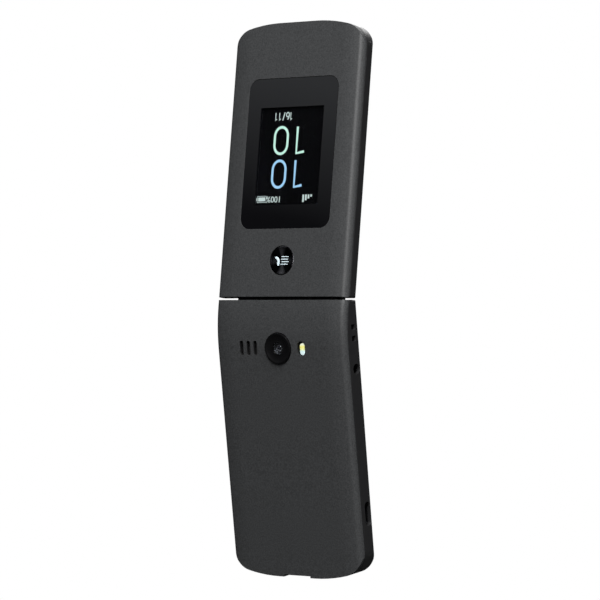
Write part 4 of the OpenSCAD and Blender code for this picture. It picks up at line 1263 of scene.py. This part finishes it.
class PHONE_OT_sockets(bpy.types.Operator):
    """Dresses the headset jack, the charging socket and the volume rocker"""

    bl_idname = "phone.sockets"
    bl_label = "Sockets and rocker"

    def execute(self, context):
        for source, name, look, slot, width in (
            ("headset_jack", "jack_body", "gloss_black", "gloss_black", 0.08),
            ("charging_socket", "socket_shell", "black_steel", "steel", 0.05),
            ("volume_rocker", "rocker_cap", "dark_frame", "key_plastic", 0.25),
        ):
            dress(moulded(source, name, width), BODY_OF[source], look, slot, (source,))
        lo, hi = extent("volume_rocker", BASE_SPACE)
        space = face(BASE_SPACE, hi.x, (lo.y + hi.y) / 2, (lo.z + hi.z) / 2, (1, 0, 0), (0, 0, 1))
        reach, arm = 5.6, 0.55
        lines = [[(-arm, reach), (arm, reach)], [(0, reach - arm), (0, reach + arm)],
                 [(-arm, -reach), (arm, -reach)]]
        marks = stroke("rocker_marks", lines, 0.22, 0.004)
        fitted(marks, space, "volume_rocker", "key_print", "key_plastic")
        return {"FINISHED"}


# ---- keypad ----


def star():
    spokes = [(1.3 * math.cos(a), 1.3 * math.sin(a))
              for a in (math.radians(90 + 60 * i) for i in range(3))]
    return [[(-x, -y), (x, y)] for x, y in spokes]


def arrowheads(tip, arm=0.75):
    """Four small chevrons round the ring, each pointing outwards."""
    upright = [[(-arm, way * (tip - arm)), (0, way * tip), (arm, way * (tip - arm))]
               for way in (1, -1)]
    return upright + [[(y, x) for x, y in head] for head in upright]


# Strokes in mm round each cap's middle, and the width of the pen
DASH = ([[(-1.8, 0), (1.8, 0)]], 0.5)
SIGNS = {
    "key_star": (star(), 0.5),
    "key_hash": ([[(-0.95, -1.5), (-0.45, 1.5)], [(0.45, -1.5), (0.95, 1.5)],
                  [(-1.4, 0.6), (1.5, 0.6)], [(-1.5, -0.6), (1.4, -0.6)]], 0.42),
    "key_message": ([outlined(-1.9, -1.25, 1.9, 1.25), [(-1.9, 1.25), (0, -0.15), (1.9, 1.25)]],
                    0.34),
    "key_clear": ([[(-2.3, 0), (-1.0, 1.2), (2.1, 1.2), (2.1, -1.2), (-1.0, -1.2), (-2.3, 0)],
                   [(-0.1, -0.55), (1.0, 0.55)], [(-0.1, 0.55), (1.0, -0.55)]], 0.34),
    "key_loudspeaker": ([[(-2.0, 0.5), (-1.1, 0.5), (0.1, 1.4), (0.1, -1.4), (-1.1, -0.5),
                          (-2.0, -0.5), (-2.0, 0.5)], arc(0.1, 0, 0.9, 0.9, -50, 50, 6),
                         arc(0.1, 0, 1.8, 1.8, -50, 50, 8)], 0.34),
    "key_soft_left": DASH,
    "key_soft_right": DASH,
    "nav_ring": (arrowheads(9.4), 0.4),
    "key_ok": ([arc(0, 0, 1.5, 1.5, 0, 360, 24)], 0.4),
}
# Tilt of the receiver on the call keys, and its look
RECEIVERS = {"key_call": (45, "call_green"), "key_end": (180, "end_red")}


class PHONE_OT_keypad(bpy.types.Operator):
    """Rounds the key caps and etches their figures and signs"""

    bl_idname = "phone.keypad"
    bl_label = "Keypad"

    def execute(self, context):
        size = context.scene.phone_sizes.mark_size / MM
        for name in [n for n in NODES if n.startswith("key_") or n == "nav_ring"]:
            self.cap(name)
            lo, hi = extent(name, BASE_SPACE)
            title, look = name + "_mark", "key_print"
            if name[4:].isdigit():
                mark = lettered(title, name[4:], size, 0.04)
            elif name in RECEIVERS:
                tilt, look = RECEIVERS[name]
                mark = handset(0, 0, 0.95, tilt, 0.03)
            else:
                mark = stroke(title, *SIGNS[name])
            mark.name = mark.data.name = title
            space = keypad_side((lo.x + hi.x) / 2, lo.y, (lo.z + hi.z) / 2)
            fitted(mark, space, BODY_OF[name], look, "key_plastic")
        return {"FINISHED"}

    def cap(self, name):
        """A key's merged copy, its crown edge rounded, its flange left sharp."""
        crown = extent(name, BASE_SPACE)[0].y
        level = (BASE_SPACE.translation.y / MM + crown + 0.4) * MM
        obj = moulded(name, name + "_cap", 0.17, sharp=30,
                      keep=lambda e: max(v.co.y for v in e.verts) < level, segments=3)
        dress(obj, BODY_OF[name], "key_plastic", "key_plastic", (name,))


# ---- small fittings and inner parts ----

# CAD nodes that are shown as they are, by look
SHOWN = {
    "module_grey": ("rear_chassis", "camera_module", "speaker", "outer_display", "main_display"),
    "mesh_black": ("speaker_mesh", "earpiece_mesh"),
    "board_green": ("main_board", "side_switch", "lid_board"),
    "clear_film": ("dome_sheet",),
    "battery_wrap": ("battery",),
    "brass": ("battery_contacts",),
    "steel": ("card_reader", "vibration_motor", "microphone", "lid_plate", "earpiece", "magnet"),
    "black_steel": ("base_screws", "hinge_pin", "lid_screws", "hinge_cartridge"),
    "flex_amber": ("hinge_flex",),
}


class PHONE_OT_fittings(bpy.types.Operator):
    """Finishes the bumpers, the battery's pads and every part inside the casing"""

    bl_idname = "phone.fittings"
    bl_label = "Fittings"

    def execute(self, context):
        for look, names in SHOWN.items():
            for name in names:
                mesh = NODES[name].data
                mesh.materials.clear()
                mesh.materials.append(material(look))
        obj = moulded("lid_bumpers", "bumper_pads", 0.22, segments=3)
        dress(obj, "lid", "rubber", "black_rubber", ("lid_bumpers",))
        self.battery_pads()
        return {"FINISHED"}

    def battery_pads(self):
        """Three gold pads on the battery's upper edge, across from the contact springs."""
        lo, hi = extent("battery", BASE_SPACE)
        spring_lo, spring_hi = extent("battery_contacts", BASE_SPACE)
        count = 3
        pitch = (spring_hi.x - spring_lo.x) / count
        pads = [
            plate("pad", pitch * 0.62, 1.5, 0.1, 0.02,
                  centre=(spring_lo.x + (i + 0.5) * pitch, 0, -0.01))
            for i in range(count)
        ]
        space = face(BASE_SPACE, 0, lo.y + 1.2, hi.z, (0, 0, 1), (0, -1, 0))
        fitted(joined("battery_pads", pads), space, "battery", "brass", "contact_brass")


class PHONE_PT_panel(bpy.types.Panel):
    """Sidebar panel that lists the phone's settings and the steps that build it"""

    bl_idname = "PHONE_PT_panel"
    bl_label = "Flip Phone"
    bl_space_type = "VIEW_3D"
    bl_region_type = "UI"
    bl_category = "Flip Phone"

    def draw(self, context):
        for group in (context.scene.phone_sizes, context.scene.phone_looks):
            for name in group.__annotations__:
                self.layout.prop(group, name)
        for step in STEPS:
            self.layout.operator(step.bl_idname)


STEPS = [PHONE_OT_stage, PHONE_OT_casing, PHONE_OT_windows, PHONE_OT_clock,
         PHONE_OT_lid_button, PHONE_OT_camera, PHONE_OT_sockets, PHONE_OT_keypad,
         PHONE_OT_fittings]
CLASSES = [PhoneSizes, PhoneLooks, *STEPS, PHONE_PT_panel]


def register():
    for item in CLASSES:
        bpy.utils.register_class(item)
    bpy.types.Scene.phone_sizes = PointerProperty(type=PhoneSizes)
    bpy.types.Scene.phone_looks = PointerProperty(type=PhoneLooks)


def unregister():
    del bpy.types.Scene.phone_looks
    del bpy.types.Scene.phone_sizes
    for item in reversed(CLASSES):
        bpy.utils.unregister_class(item)


def main():
    register()
    for step in STEPS:
        getattr(bpy.ops.phone, step.bl_idname.split(".")[1])()


if __name__ == "__main__":
    main()
